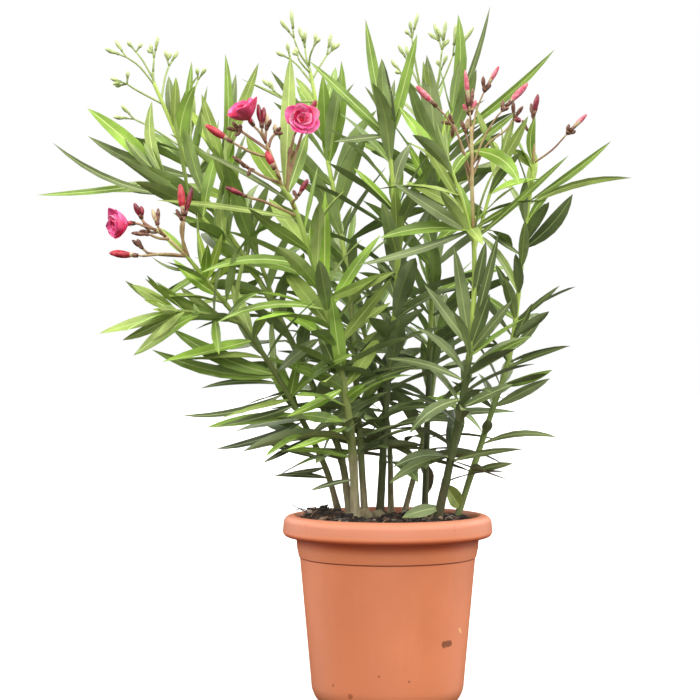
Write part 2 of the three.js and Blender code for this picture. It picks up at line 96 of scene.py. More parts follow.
# The solids' own shoots. `seed` fixes a shoot's draws. `stem` gives its radius at the foot and at
# the tip, and the share of it that is corky. `whorls` gives how far along it they start, their
# spacing and the length of their leaves, and `tones` the leaf tone at the lowest whorl and at the
# tip, from 0 for the palest to 6 for the darkest. A side shoot joins its parent at a share of the
# parent's length, in hundredths. There are no whorls along `bald`, and the leaves numbered in
# `fallen` are shed. `reaches`, and `lying` for one on the compost, are leaves placed one by one:
# the share of the stem where a leaf starts, in hundredths, or past 100 one of the way to the end of
# the main flower stalk, then its run in three numbers, its width, its tone, and any bow.
SHOOTS = [
    dict(name="left_front", seed=35, stem=(3.8, 2.2, 0.3), whorls=(70, 28, 118), tones=(4, 1),
         fallen=(0, 2, 22, 24, 27, 30, 31, 32),
         path=[(-54, 62), (-78, 40, 287), (-142, -10, 404), (-224, -62, 512)], reaches=[
        (73, -90, -28, 43, 13, 3, 10), (52, -115, -48, 52, 18, 3, 8), (51, -140, -30, 31, 14, 3, 9),
        (48, -92, -10, -4, 7, 5, -6), (45, -121, 4, -26, 8, 5, 9), (40, -87, -20, -23, 10, 5, 3),
        (34, -100, -12, -31, 9, 6, 5), (28, -55, -24, -28, 7, 6), (20, -75, 16, 22, 8, 6),
        (17, -42, -18, -5, 6, 6, 2), (13, -64, -14, 4, 7, 6, -3), (94, -49, -14, 13, 4, 4, 7),
        (83, -49, -30, 40, 13, 1, 3), (89, -9, -26, 56, 10, 0), (89, 19, -34, 51, 10, 0),
        (88, 30, -38, 27, 9, 0), (90, 6, -48, 36, 11, 1), (43, 10, -20, 47, 12, 3),
        (99, -31, 14, 32, 10, 1)]),
    dict(name="left_low", parent="left_front", joins=72, seed=72, stem=(2.4, 1.6, 0),
         whorls=(18, 17, 86), tones=(3, 1), fallen=(2,), path=[(-202, -52, 446), (-234, -78, 449)],
         reaches=[
        (95, -84, -20, -25, 14, 2), (90, -46, -33, -46, 14, 2, 3), (98, -46, -18, 28, 14, 2)]),
    dict(name="left_back", seed=426, stem=(4.2, 2.2, 0.25), whorls=(60, 30, 118), tones=(4, 1),
         bald=(0.9, 1), fallen=(28, 30, 35, 44, 45, 46),
         path=[(-42, 35), (-61, 48, 308), (-142, 68, 476), (-214, 95, 588), (-277, 120, 725)],
         reaches=[
        (78, -122, -40, 44, 15, 4, 9), (86, 19, -7, 67, 17, 3, 5), (90, -6, 19, 62, 13, 4),
        (84, 9, 12, 109, 10, 3), (78, 44, -10, 36, 12, 4, 2), (62, -70, -16, 32, 12, 3),
        (89, 3, -10, 62, 12, 2), (57, 6, -24, 70, 9, 4)]),
    dict(name="left_arm", parent="left_back", joins=52, seed=484, stem=(2.6, 1.8, 0),
         whorls=(20, 20, 138), tones=(3, 2), fallen=(2, 7, 9, 10, 12, 18, 21, 23),
         path=[(-181, 45, 524), (-216, 42, 562), (-257, 48, 604)], reaches=[
        (98, -150, -8, -17, 8, 3, 3), (83, -145, -25, 59, 8, 4, 14), (99, -93, 13, 85, 19, 1, -3),
        (98, -21, 40, 98, 14, 2, 11)]),
    dict(name="left_inner", parent="left_back", joins=42, seed=341, stem=(2.6, 1.8, 0),
         whorls=(30, 24, 122), tones=(3, 0), fallen=(6, 7, 10, 23),
         path=[(-152, 74, 520), (-196, 88, 632)], reaches=[
        (92, 0, 9, 140, 12, 3, -4), (95, 14, 24, 113, 13, 4), (97, 44, -4, 118, 14, 2),
        (93, -26, -10, 88, 14, 2), (60, -14, -20, 50, 16, 1)]),
    dict(name="front", seed=49, stem=(5.4, 2.6, 0.3), whorls=(64, 22, 122), tones=(4, 0),
         fallen=(0, 36, 38, 39, 40, 41, 42, 43, 44),
         path=[(-36, 5), (-42, -8, 315), (-65, -32, 439), (-101, -58, 556), (-118, -66, 587)],
         reaches=[
        (98, 4, 60, 160, 18, 2), (89, -161, 30, 24, 7, 2, -3), (74, -124, -58, -6, 11, 3, -15),
        (62, -121, -46, -15, 9, 3, -14), (39, -63, -44, -31, 11, 1, 2), (41, -13, -34, 98, 18, 3),
        (28, -70, -40, -26, 9, 1, 3), (65, 78, -46, 30, 13, 2), (12, -50, -26, -11, 6, 6, -2),
        (99, -42, 24, 60, 18, 1, 2), (94, -107, 24, 61, 7, 4, -3), (97, 22, 30, 71, 15, 3),
        (51, 62, -40, 77, 13, 2), (40, -30, -30, 66, 15, 5), (36, 21, -24, 15, 11, 1),
        (37, 86, -10, 33, 8, 5, 4), (65, 1, -20, 120, 14, 1)]),
    dict(name="back", seed=201, stem=(4, 2.2, 0.3), whorls=(66, 29, 124), tones=(4, 2),
         bald=(0.94, 1), fallen=(1, 3, 18, 26, 44),
         path=[(-25, 30), (-34, 45, 348), (-42, 62, 464), (-60, 85, 583), (-90, 118, 738)],
         reaches=[
        (92, -26, 14, 36, 10, 2), (78, 15, -12, 122, 16, 3, -5), (78, 13, -20, 74, 11, 3),
        (81, -4, -10, 91, 17, 3)]),
    dict(name="centre", seed=403, stem=(4.6, 2.2, 0.3), whorls=(62, 26, 134), tones=(5, 3),
         fallen=(1, 2, 23, 27, 36, 39),
         path=[(-8, 50), (0, 44, 355), (12, 36, 487), (8, 25, 578), (0, 20, 660)], reaches=[
        (97, -26, 6, 139, 14, 3, 2), (92, -9, -22, 110, 20, 6), (96, 33, 9, 127, 14, 3),
        (98, -91, 20, 89, 11, 3), (79, -47, -30, 46, 11, 1), (66, -4, -40, 84, 17, 2),
        (98, -62, -10, -8, 9, 4)]),
    dict(name="right_back", seed=237, stem=(3.8, 2, 0.25), whorls=(74, 30, 134), tones=(5, 3),
         fallen=(5, 6, 8, 37, 39, 40, 41),
         path=[(45, 75), (51, 92, 384), (57, 104, 525), (65, 110, 596), (79, 120, 690)], reaches=[
        (97, 10, 3, 132, 16, 3, -7), (97, 48, 0, 141, 8, 4, -4), (93, 126, -20, 105, 10, 3, -6),
        (80, -16, 0, 162, 26, 4), (78, -2, -60, 80, 14, 1), (82, -116, -30, 53, 9, 3, -2),
        (77, -38, -30, 66, 12, 1)]),
    dict(name="right_spur", parent="right_back", joins=70, seed=161, stem=(2.2, 1.7, 0),
         whorls=(24, 24, 112), tones=(3, 1), bald=(0.85, 1), fallen=(9, 10),
         path=[(53, 124, 600), (46, 138, 700)]),
    dict(name="right_front", seed=319, stem=(5, 2.4, 0.5), whorls=(44, 21, 108), tones=(6, 2),
         bald=(0.62, 0.93), fallen=(0, 2, 8, 11, 15), lying=[(5, -44, -20, -10, 15, 4, -2)],
         path=[(56, -8), (75, -22, 305), (89, -42, 392), (95, -50, 472), (94, -56, 540)], reaches=[
        (98, -92, -45, 54, 16, 4), (96, 101, -35, 91, 8, 3), (61, -19, -12, 111, 17, 4),
        (62, 30, -15, 122, 12, 5), (77, 12, -16, 62, 12, 5), (60, 20, -26, 61, 15, 5),
        (52, 68, -20, 40, 9, 3, 3), (49, -88, -26, 26, 9, 4, -6), (43, -61, -40, -37, 14, 5, -9),
        (23, -71, -34, -29, 12, 4, -8), (21, 82, -16, 15, 8, 4, 4), (175, 50, -34, -40, 17, 1, 13),
        (100, -129, -16, -41, 10, 4, 4), (175, -22, -16, -30, 11, 3, -4), (100, 50, -14, 30, 7, 3),
        (179, 51, 10, 40, 8, 3), (61, -52, -20, 68, 14, 4), (59, 46, -20, 58, 12, 4)]),
    dict(name="right_inner", parent="right_front", joins=95, seed=320, stem=(2, 1.6, 0),
         whorls=(16, 20, 104), tones=(2, 1), fallen=(3, 5, 6, 8, 11, 13, 14),
         path=[(80, -74, 570), (65, -80, 612)], reaches=[
        (41, -56, -20, 91, 11, 2)]),
    dict(name="right_outer", parent="right_front", joins=93, seed=357, stem=(2, 1.6, 0),
         whorls=(16, 22, 98), tones=(2, 1), fallen=(0, 5, 7, 10, 11, 13, 14),
         path=[(110, -44, 570), (126, -34, 622)], reaches=[
        (80, 36, -6, 65, 12, 2)]),
    dict(name="far_right", seed=22, stem=(3.8, 2, 0.2), whorls=(46, 27, 96), tones=(5, 2),
         fallen=(1, 3, 4, 5, 6, 11, 24, 27, 29, 30, 36, 39, 40),
         path=[(81, 40), (114, 36, 315), (142, 30, 405), (155, 18, 519), (167, 12, 622)], reaches=[
        (89, 92, -14, 67, 9, 3, -3), (88, 117, -5, 30, 9, 2, 9), (76, 53, -32, 60, 18, 5, -6),
        (56, 48, -27, 41, 7, 4), (50, 21, -22, 46, 11, 5), (48, 37, -10, 44, 10, 4, -2),
        (43, 69, -30, 26, 7, 4, 3), (38, 57, -22, 19, 11, 3, -2), (32, 64, -10, 33, 13, 4),
        # The leaf at the foot, last on the next line, takes a paler tone as painted light against
        # the shade it stands in.
        (21, 88, -10, 9, 8, 4, 9), (13, 46, -20, 12, 9, 4, 2), (3, -20, -40, 29, 19, 2),
        (74, -42, -14, 27, 6, 4), (60, -26, -16, 49, 10, 5), (80, 21, -16, 34, 10, 5),
        (99, 1, -12, 52, 11, 3, 5), (98, -28, -20, 19, 12, 2, -2)]),
    dict(name="rear_left", seed=63, stem=(3.6, 2, 0.3), whorls=(70, 26, 116), tones=(5, 3),
         fallen=(0, 1, 3), path=[(6, 80), (2, 124, 322), (-26, 162, 430), (-60, 186, 515)]),
    dict(name="rear_right", seed=235, stem=(3.4, 2, 0.3), whorls=(70, 27, 108), tones=(5, 3),
         path=[(20, 62), (50, 122, 322), (62, 158, 406), (56, 182, 486)]),
]


def spray(start, behind, *points, flower=None, **buds):
    """A stalk of a flower head. It starts at a share of the shoot's length, in hundredths, or past
    100 at one of the main stalk's, and runs through points to an end set back from the head's
    depth. There it carries a flower or the tips of each kind of bud. Points are across and down
    the camera's frame.
    """
    tips = [(place, kind) for kind, places in buds.items() for place in places]
    return dict(start=start, behind=behind, points=points, flower=flower, tips=tips)


# Flower heads. `main` is the main stalk above the shoot's tip, `girth` its radius, and `stalk`
# the radius of the sprays' own.
RED_HEADS = {
    "left_front": dict(depth=-68, main=[(176, 246), (166, 237), (155, 229)], sprays=[
        spray(197, -4, (147, 227), (141, 225), flower=dict(place=(120, 224),
              facing=(-0.86, -0.5, -0.08), width=34)),
        spray(180, 8, (147, 225), (142, 220), dark=[(134, 203), (141, 206)]),
        spray(170, -9, (158, 227), cream=[(152, 209)], brown=[(158, 208)]),
        spray(160, -12, (158, 238), (151, 235), brown=[(131, 233)]),
        spray(190, 14, (150, 232), brown=[(139, 231), (143, 222)]),
        spray(99, -10, (165, 254), (143, 256), red=[(109, 253)]),
        spray(99, 4, (164, 255), (148, 253), (143, 249), brown=[(132, 240), (137, 239)]),
        spray(98, -6, (183, 244), (184, 221), red=[(180, 184)], dark=[(192, 187)]),
        spray(98, 6, (181, 233), (182, 221), brown=[(176, 209), (186, 206)]),
    ]),
    "front": dict(depth=-74, main=[(277, 170), (270, 152), (264, 138)], sprays=[
        spray(190, -6, (261, 134), (257, 129), flower=dict(place=(245, 112),
              facing=(-0.5, -0.36, 0.78), width=35)),
        spray(160, -10, (253, 153), (237, 145), red=[(205, 125)]),
        spray(175, 8, (248, 136), (241, 131),
              brown=[(226, 128), (232, 122), (235, 136), (240, 124)]),
        spray(197, -4, (262, 131), dark=[(258, 104), (264, 107)]),
        spray(195, 8, (266, 131), cream=[(267, 114)], brown=[(271, 119)]),
        spray(180, 12, (271, 139), (275, 134), cream=[(275, 124)], brown=[(281, 127), (283, 133)]),
        spray(97, -8, (288, 168), (291, 150), (294, 136), flower=dict(place=(302, 118),
              facing=(0.1, -0.98, 0.1), width=28, tones=(0, 2, 0, 2),
              leans=((74, 44), (64, 34), (54, 26), (40, 14)))),
        spray(98, 10, (290, 172), (289, 160), brown=[(290, 147), (294, 150)]),
        spray(98, 10, (300, 140), (309, 116), dark=[(316, 100)]),
        spray(120, -12, (276, 172), red=[(266, 151)]),
        spray(90, -14, (265, 202), (250, 198), dark=[(225, 187)]),
        spray(92, -6, (292, 203), (297, 198), dark=[(308, 179)], brown=[(293, 190)]),
        spray(110, 4, (262, 176), (250, 169),
              brown=[(232, 156), (240, 163), (248, 176), (255, 171)]),
    ]),
    "right_front": dict(depth=-62, girth=2.6, stalk=1.35,
        main=[(472, 190), (472, 155), (471, 125)], sprays=[
        spray(150, -8, (459, 138), (447, 118), (440, 110), plump=[(416, 86)]),
        spray(135, 6, (458, 134), (453, 124), brown=[(449, 114), (441, 122), (452, 138)]),
        spray(197, -6, (470, 112), pink=[(465, 70)]),
        spray(197, 5, (470, 116), brown=[(466, 92), (473, 88)], pink=[(476, 100), (463, 104)]),
        spray(185, 6, (476, 112), (484, 92), pink=[(499, 66)], brown=[(483, 76), (491, 84)]),
        spray(160, -6, (484, 138), (496, 118), (502, 111), plump=[(528, 83)],
              brown=[(503, 100), (509, 107)]),
        spray(150, 12, (486, 146), (505, 131), (514, 119), brown=[(513, 101), (523, 106)],
              dark=[(521, 121)]),
        spray(170, 14, (466, 134), brown=[(461, 120)], cream=[(468, 118)]),
    ]),
    "far_right": dict(depth=8, stalk=1.35, main=[(534, 140), (533, 122)], sprays=[
        spray(197, -4, (533, 119), dark=[(538, 94)], brown=[(531, 103), (537, 104)]),
        spray(102, -8, (552, 150), (567, 134), pink=[(587, 114)], brown=[(569, 124), (576, 131)]),
        spray(150, 12, (528, 131), brown=[(522, 120)]),
    ]),
}
GREEN_HEADS = {
    "left_back": dict(depth=122, main=[(153, 78), (153, 72)], sprays=[
        spray(110, -10, (139, 66), (126, 57), green=[(115, 40), (105, 49)]),
        spray(160, 12, (143, 61), (136, 52), green=[(127, 41), (142, 43)]),
        spray(197, 0, (154, 58), green=[(158, 36), (150, 44)]),
        spray(96, 16, (165, 78), (169, 66), green=[(165, 50), (178, 51)]),
        spray(95, -14, (138, 91), (127, 84), green=[(110, 78), (115, 86), (128, 71)]),
        spray(85, -8, (150, 127), (134, 119), green=[(113, 117), (121, 105)]),
        spray(80, 20, (191, 112), (194, 92), (198, 80), green=[(206, 68), (197, 68)]),
    ]),
    "back": dict(depth=120, main=[(309, 66), (306, 60)], sprays=[
        spray(150, -8, (299, 52), (294, 38), green=[(291, 10), (280, 20)]),
        spray(190, 10, (305, 48), green=[(299, 27), (305, 31)]),
        spray(160, -14, (310, 56), (314, 46), green=[(316, 33), (320, 38)]),
        spray(98, 16, (320, 66), (327, 55), green=[(331, 34), (340, 43)]),
        spray(97, 20, (298, 66), (290, 59), green=[(276, 52), (287, 43)]),
        spray(93, -12, (290, 101), (275, 92), green=[(262, 79), (269, 81)]),
        spray(120, -18, (299, 60), green=[(295, 47)]),
    ]),
    "right_spur": dict(depth=138, main=[(422, 96), (419, 82)], sprays=[
        spray(190, -6, (415, 60), (412, 38), green=[(410, 21), (418, 13), (405, 30)]),
        spray(180, 10, (409, 63), green=[(398, 45), (406, 46)]),
        spray(150, -12, (403, 75), green=[(391, 60), (395, 71)]),
        spray(99, 8, (436, 90), (441, 70), green=[(437, 60), (447, 55)]),
        spray(98, -8, (437, 84), (442, 50), green=[(434, 23), (446, 21), (449, 39)]),
        spray(98, 18, (441, 84), (453, 56), green=[(474, 27), (456, 24)]),
    ]),
}

HEADS = {**RED_HEADS, **GREEN_HEADS}

# ---- Colours ----


def srgb(red, green, blue):
    """A screen colour, 0 to 255, as the linear one that a shader takes."""
    parts = [part / 255 for part in (red, green, blue)]
    lit = [p / 12.92 if p <= 0.04045 else ((p + 0.055) / 1.055) ** 2.4 for p in parts]
    return (*lit, 1)


LEAF_TONES = [srgb(*tone) for tone in (
    (180, 204, 88), (154, 190, 74), (154, 174, 88), (132, 160, 70), (122, 136, 86), (100, 115, 68),
    (82, 92, 60))]
UNDER_TONES = [srgb(*tone) for tone in (
    (174, 194, 112), (158, 178, 112), (144, 158, 112), (130, 138, 108))]
RIB_TONES = [srgb(*tone) for tone in (
    (206, 221, 130), (184, 204, 114), (158, 174, 106), (136, 148, 100))]

# ---- Shader helpers ----


class Signal:
    """A shader socket that sums and products can be written with."""

    def __init__(self, finish, socket):
        self.finish = finish
        self.socket = socket

    def maths(self, operation, *others):
        values = dict(enumerate((self, *others)))
        return self.finish.node("ShaderNodeMath", {"operation": operation}, values)

    __add__ = __radd__ = partialmethod(maths, "ADD")
    __sub__ = partialmethod(maths, "SUBTRACT")
    __mul__ = partialmethod(maths, "MULTIPLY")

    def __rsub__(self, other):
        return (self * -1) + other

    def rise(self, low, high):
        """0 below low and 1 above high, with a smooth slope between."""
        settings = {"interpolation_type": "SMOOTHSTEP"}
        return self.finish.node("ShaderNodeMapRange", settings, {0: self, 1: low, 2: high})


class Finish:
    """One material, with its nodes made through node()."""

    def __init__(self, name, roughness=0.5, **constants):
        self.material = bpy.data.materials.new(name)
        self.material.use_nodes = True
        self.tree = self.material.node_tree
        self.surface = self.tree.nodes["Principled BSDF"]
        self.wire(self.surface.inputs["Roughness"], roughness)
        for socket, value in constants.items():
            self.wire(self.surface.inputs[socket.replace("_", " ")], value)

    def wire(self, socket, value):
        if isinstance(value, Signal):
            self.tree.links.new(value.socket, socket)
        else:
            socket.default_value = value

    def node(self, kind, settings=None, inputs=None, output=0):
        made = self.tree.nodes.new(kind)
        for name, value in (settings or {}).items():
            setattr(made, name, value)
        for key, value in (inputs or {}).items():
            self.wire(made.inputs[key], value)
        return Signal(self, made.outputs[output])

    def place(self):
        return self.node("ShaderNodeTexCoord", output="Object")

    def height(self):
        return self.node("ShaderNodeSeparateXYZ", inputs={0: self.place()}, output=2)

    def stretched(self, x, y, z):
        return self.node("ShaderNodeMapping", inputs={0: self.place(), 3: (x, y, z)})

    def grain(self, scale, detail=3, where=None):
        inputs = {"Vector": where or self.place(), "Scale": scale, "Detail": detail}
        return self.node("ShaderNodeTexNoise", inputs=inputs)

    def blend(self, share, under, over):
        values = {0: share, 6: under, 7: over}
        return self.node("ShaderNodeMix", {"data_type": "RGBA"}, values, output=2)

    def colour(self, value):
        self.wire(self.surface.inputs["Base Color"], value)

    def rough(self, value):
        self.wire(self.surface.inputs["Roughness"], value)

    def relief(self, height, depth, distance=0.001):
        values = {"Strength": depth, "Distance": distance, "Height": height}
        self.wire(self.surface.inputs["Normal"], self.node("ShaderNodeBump", inputs=values))


def tinted(colour, factor):
    return (*(min(channel * factor, 1) for channel in colour[:3]), 1)


# ---- Materials ----


def leaf_finish(name, tone, shine):
    """Waxy leaf: broad patches of light and deep green, and a skin that is never quite even."""
    finish = Finish(name, Specular_IOR_Level=0.25)
    patches = finish.grain(28, 3).rise(0.3, 0.7)
    finish.colour(finish.blend(patches, tinted(tone, 0.72), tinted(tone, 1.16)))
    finish.rough(shine + finish.grain(220, 2) * 0.12)
    finish.relief(finish.grain(160, 2), 0.05, 0.0004)
    return finish.material


def rib_finish(name, tone):
    finish = Finish(name, 0.42)
    finish.colour(finish.blend(finish.grain(90), tinted(tone, 0.9), tinted(tone, 1.08)))
    return finish.material


def pot_finish():
    """Moulded terracotta-coloured plastic: cloudy and scuffed, with marks, and with painted shade,
    light and sheen.
    """
    clay = srgb(215, 128, 87)
    finish = Finish("terracotta_plastic", Specular_IOR_Level=0.4)
    clouds = finish.grain(9, 4)
    streaks = finish.grain(7, 5, finish.stretched(9, 9, 1.2))
    body = finish.blend(clouds.rise(0.3, 0.7), tinted(clay, 0.91), tinted(clay, 1.05))
    dust = finish.grain(140, 3).rise(0.6, 0.78) * finish.grain(16, 2).rise(0.5, 0.75)
    height = finish.height()
    # Painted shade under the rim: a deeper, redder tone, as of light bounced between the rim and
    # the collar.
    under_rim_painted_shade = height.rise(0.182, 0.194) * (1 - height.rise(0.197, 0.202))
    # Painted shade in the groove below the collar: a thin dark line.
    groove_painted_shade = height.rise(0.1712, 0.1718) * (1 - height.rise(0.1728, 0.1734))
    for share, tone in (
            (streaks.rise(0.55, 0.8) * 0.16, srgb(228, 150, 112)),
            (dust * 0.35, srgb(190, 112, 84)),
            # Painted light: the collar is made lighter, against the shadow of the rim.
            (height.rise(0.172, 0.174) * 0.6, tinted(clay, 1.14)),  # the collar
            # The painted shade under the rim.
            (under_rim_painted_shade * 0.85, srgb(222, 100, 58)),
            # Painted shade and sheen on the rim: a duller, slightly darker tone, against the
            # stronger light on its top.
            (height.rise(0.2, 0.206) * 0.8, tinted(srgb(206, 132, 102), 0.96)),  # the rim
            # The painted shade in the groove.
            (groove_painted_shade * 0.4, srgb(134, 60, 36)),
            # Painted shade, darker towards the bottom.
            ((1 - height.rise(0.005, 0.08)) * 0.5, tinted(clay, 0.82))):
        body = finish.blend(share, body, tone)
    for spot, size, tone in MARKS:
        distance = finish.node("ShaderNodeVectorMath", {"operation": "DISTANCE"},
                               {0: finish.place(), 1: [part * MM for part in spot]}, output=1)
        ragged = distance + (finish.grain(400, 2) - 0.5) * size * MM * 0.9
        body = finish.blend(1 - ragged.rise(size * MM * 0.8, size * MM * 1.2), body, tone)
    finish.colour(body)
    finish.rough(0.42 + clouds * 0.1 + dust * 0.2)
    finish.relief(finish.grain(700, 2) + streaks, 0.1, 0.0005)
    return finish.material


SMUDGE, SCRATCH, SPECK = srgb(136, 76, 48), srgb(236, 196, 124), srgb(168, 92, 60)
CREASE = srgb(196, 116, 86)
MARKS = [  # place on the wall, half width and colour of each mark
    ((60.9, -67.8, 83), 3.8, SMUDGE), ((64, -64.9, 83), 3.8, SMUDGE),
    ((67, -61.8, 83), 3.8, SMUDGE),
    ((78.8, -48.2, 97), 1.3, SCRATCH), ((79.7, -46.6, 95), 1.5, SCRATCH),
    ((80.6, -45, 93), 1.2, SCRATCH),
    ((-61, -62, 37), 1.6, SPECK), ((-42, -75, 27), 3, SPECK), ((-11, -87.5, 51), 1.4, SPECK),
    ((22, -85, 45), 1.4, SPECK), ((-91, -74, 214), 1.6, CREASE), ((-89.6, -75.6, 209), 1.3, CREASE),
    ((71, -93.6, 215), 1.6, CREASE), ((70.4, -94, 210), 1.2, CREASE),
]


BARK_LOOKS = [
    # name, colours at the foot, higher up and where it is young, and the heights, in metres,
    # between which each gives way to the next
    ("stem_bark", (136, 124, 94), (122, 134, 76), (178, 200, 96), (0.22, 0.3), (0.4, 0.54)),
    ("pale_stem_bark", (164, 153, 120), (132, 142, 78), (160, 180, 90), (0.24, 0.31), (0.36, 0.47)),
    ("green_stem_bark", (128, 132, 84), (128, 146, 78), (178, 200, 96), (0.215, 0.24),
     (0.36, 0.44)),
    ("dark_stem_bark", (88, 82, 56), (84, 94, 52), (178, 200, 96), (0.22, 0.26), (0.38, 0.46)),
]


def bark_finish(name, foot, skin, young, greening, paling):
    """A stem that is corky at the foot, smooth higher up and bright where it is young."""
    finish = Finish(name, Specular_IOR_Level=0.35)
    foot, skin, young = (srgb(*tone) for tone in (foot, skin, young))
    height = finish.height()
    patchy = height + (finish.grain(30, 4) - 0.5) * 0.08
    smooth = patchy.rise(*greening)
    streaks = finish.grain(60, 4, finish.stretched(3, 3, 0.6))
    wood = finish.blend(streaks.rise(0.35, 0.7), tinted(foot, 0.72), tinted(foot, 1.2))
    green = finish.blend(patchy.rise(*paling), skin, young)
    green = finish.blend(streaks.rise(0.4, 0.8) * 0.3, green, foot)
    finish.colour(finish.blend(smooth, wood, green))
    finish.rough(0.76 - smooth * 0.26)
    finish.relief(streaks + finish.grain(300, 3) * (1.2 - smooth), 0.3, 0.001)
    return finish.material


def soft_finish(name, pale, deep, roughness=0.5, scale=120):
    """Petal, bud, calyx or crumb: two tones of one colour clouded together."""
    finish = Finish(name, roughness)
    clouds = finish.grain(scale, 3).rise(0.3, 0.7)
    finish.colour(finish.blend(clouds, srgb(*deep), srgb(*pale)))
    return finish.material


def soil_finish():
    finish = Finish("damp_compost", 0.95, Specular_IOR_Level=0.2)
    clods = finish.grain(90, 5)
    earth = finish.blend(clods.rise(0.35, 0.65), srgb(30, 24, 19), srgb(64, 50, 38))
    fibres = finish.grain(420, 2).rise(0.62, 0.72) * finish.grain(40, 2).rise(0.4, 0.7)
    finish.colour(finish.blend(fibres * 0.7, earth, srgb(118, 98, 74)))
    finish.relief(clods * 2 + finish.grain(600, 3), 0.9, 0.003)
    return finish.material


def floor_finish():
    finish = Finish("studio_floor", 0.9, Specular_IOR_Level=0.1)
    finish.colour(srgb(248, 248, 247))
    return finish.material


# ---- Shape helpers ----


def seeded(seed):
    """The solids' own numbers between 0 and 1, by mulberry32, in an order that the seed fixes."""
    full = 0xFFFFFFFF
    state = seed * 7919 & full

    def draw():
        nonlocal state
        state = state + 0x6D2B79F5 & full
        mixed = (state ^ state >> 15) * (1 | state) & full
        mixed = (mixed + ((mixed ^ mixed >> 7) * (61 | mixed) & full) & full) ^ mixed
        return (mixed ^ mixed >> 14) / 4294967296

    return draw


def mix(low, high, share):
    return low + (high - low) * share


def spread(draw, width):
    return (draw() - 0.5) * width


def turned(vector, axis, degrees):
    return Matrix.Rotation(math.radians(degrees), 3, axis) @ vector


class Curve:
    """A smooth curve through points, measured along its length from 0 to 1."""

    SAMPLES = 200

    def __init__(self, points):
        self.points = [Vector(point) for point in points]
        dots = [self.at(i / self.SAMPLES) for i in range(self.SAMPLES + 1)]
        self.sums = [0]
        for before, after in zip(dots, dots[1:]):
            self.sums.append(self.sums[-1] + (after - before).length)
        self.length = self.sums[-1]

    def at(self, share):
        points = self.points
        last = len(points) - 1
        index = min(int(last * share), last - 1)
        w = last * share - index
        p1, p2 = points[index], points[index + 1]
        p0 = points[index - 1] if index else 2 * p1 - p2
        p3 = points[index + 2] if index + 2 <= last else 2 * p2 - p1
        out, back = (p2 - p0) / 2, (p3 - p1) / 2
        square, cube = w * w, w * w * w
        return (p1 + out * w + (3 * (p2 - p1) - 2 * out - back) * square
                + (2 * (p1 - p2) + out + back) * cube)

    def share(self, u):
        reach = u * self.length
        low = bisect_right(self.sums, reach, 1, self.SAMPLES) - 1
        step = self.sums[low + 1] - self.sums[low]
        return (low + (reach - self.sums[low]) / step) / self.SAMPLES

    def point(self, u):
        return self.at(self.share(min(max(u, 0), 1)))

    def tangent(self, u):
        share = self.share(min(max(u, 0), 1))
        return (self.at(min(share + 1e-4, 1)) - self.at(max(share - 1e-4, 0))).normalized()


def rod(sides, cuts):
    """A closed unit rod along Z with rings of vertices all the way up."""
    bm = bmesh.new()
    bmesh.ops.create_cone(bm, cap_ends=True, segments=sides, radius1=1, radius2=1, depth=1)
    lengthways = [edge for edge in bm.edges if abs(edge.verts[0].co.z - edge.verts[1].co.z) > 0.5]
    bmesh.ops.subdivide_edges(bm, edges=lengthways, cuts=cuts)
    return bm


def bent(bm, curve, radius_at):
    """Bends a unit rod along a curve, in millimetres."""
    for vert in bm.verts:
        u = vert.co.z + 0.5
        along = curve.tangent(u)
        side = along.cross(Vector((0, 1, 0)))
        side = side.normalized() if side.length > 0.01 else Vector((1, 0, 0))
        front = side.cross(along)
        angle = math.atan2(vert.co.y, vert.co.x)
        radius = radius_at(u, angle) * math.hypot(vert.co.x, vert.co.y)
        across = side * math.cos(angle) + front * math.sin(angle)
        vert.co = curve.point(u) + across * radius
    return bm


def mesh_of(name, shape):
    mesh = bpy.data.meshes.new(name)
    shape.to_mesh(mesh)
    shape.free()
    return mesh


def added(name, data):
    """A new object in the scene."""
    made = bpy.data.objects.new(name, data)
    bpy.context.scene.collection.objects.link(made)
    return made


def poured(target, source, material=None):
    """Adds one bmesh's shape to another, with one material all over it unless it has its own."""
    if material is not None:
        for face in source.faces:
            face.material_index = material
    scratch = mesh_of("scratch", source)
    target.from_mesh(scratch)
    bpy.data.meshes.remove(scratch)


def settled(name, shape, materials, nodes=()):
    """Makes a smooth piece, in metres, from a bmesh in millimetres, and seats it in the frame."""
    for face in shape.faces:
        face.smooth = True
    bmesh.ops.scale(shape, vec=(MM, MM, MM), verts=shape.verts)
    bmesh.ops.recalc_face_normals(shape, faces=shape.faces)
    return seated(name, mesh_of(name, shape), materials, nodes)


def seated(name, mesh, materials, nodes=()):
    for material in materials:
        mesh.materials.append(material)
    piece = added(name, mesh)
    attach(piece, "root")
    if nodes:
        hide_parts(*nodes)
    return piece


# ---- The shoots ----


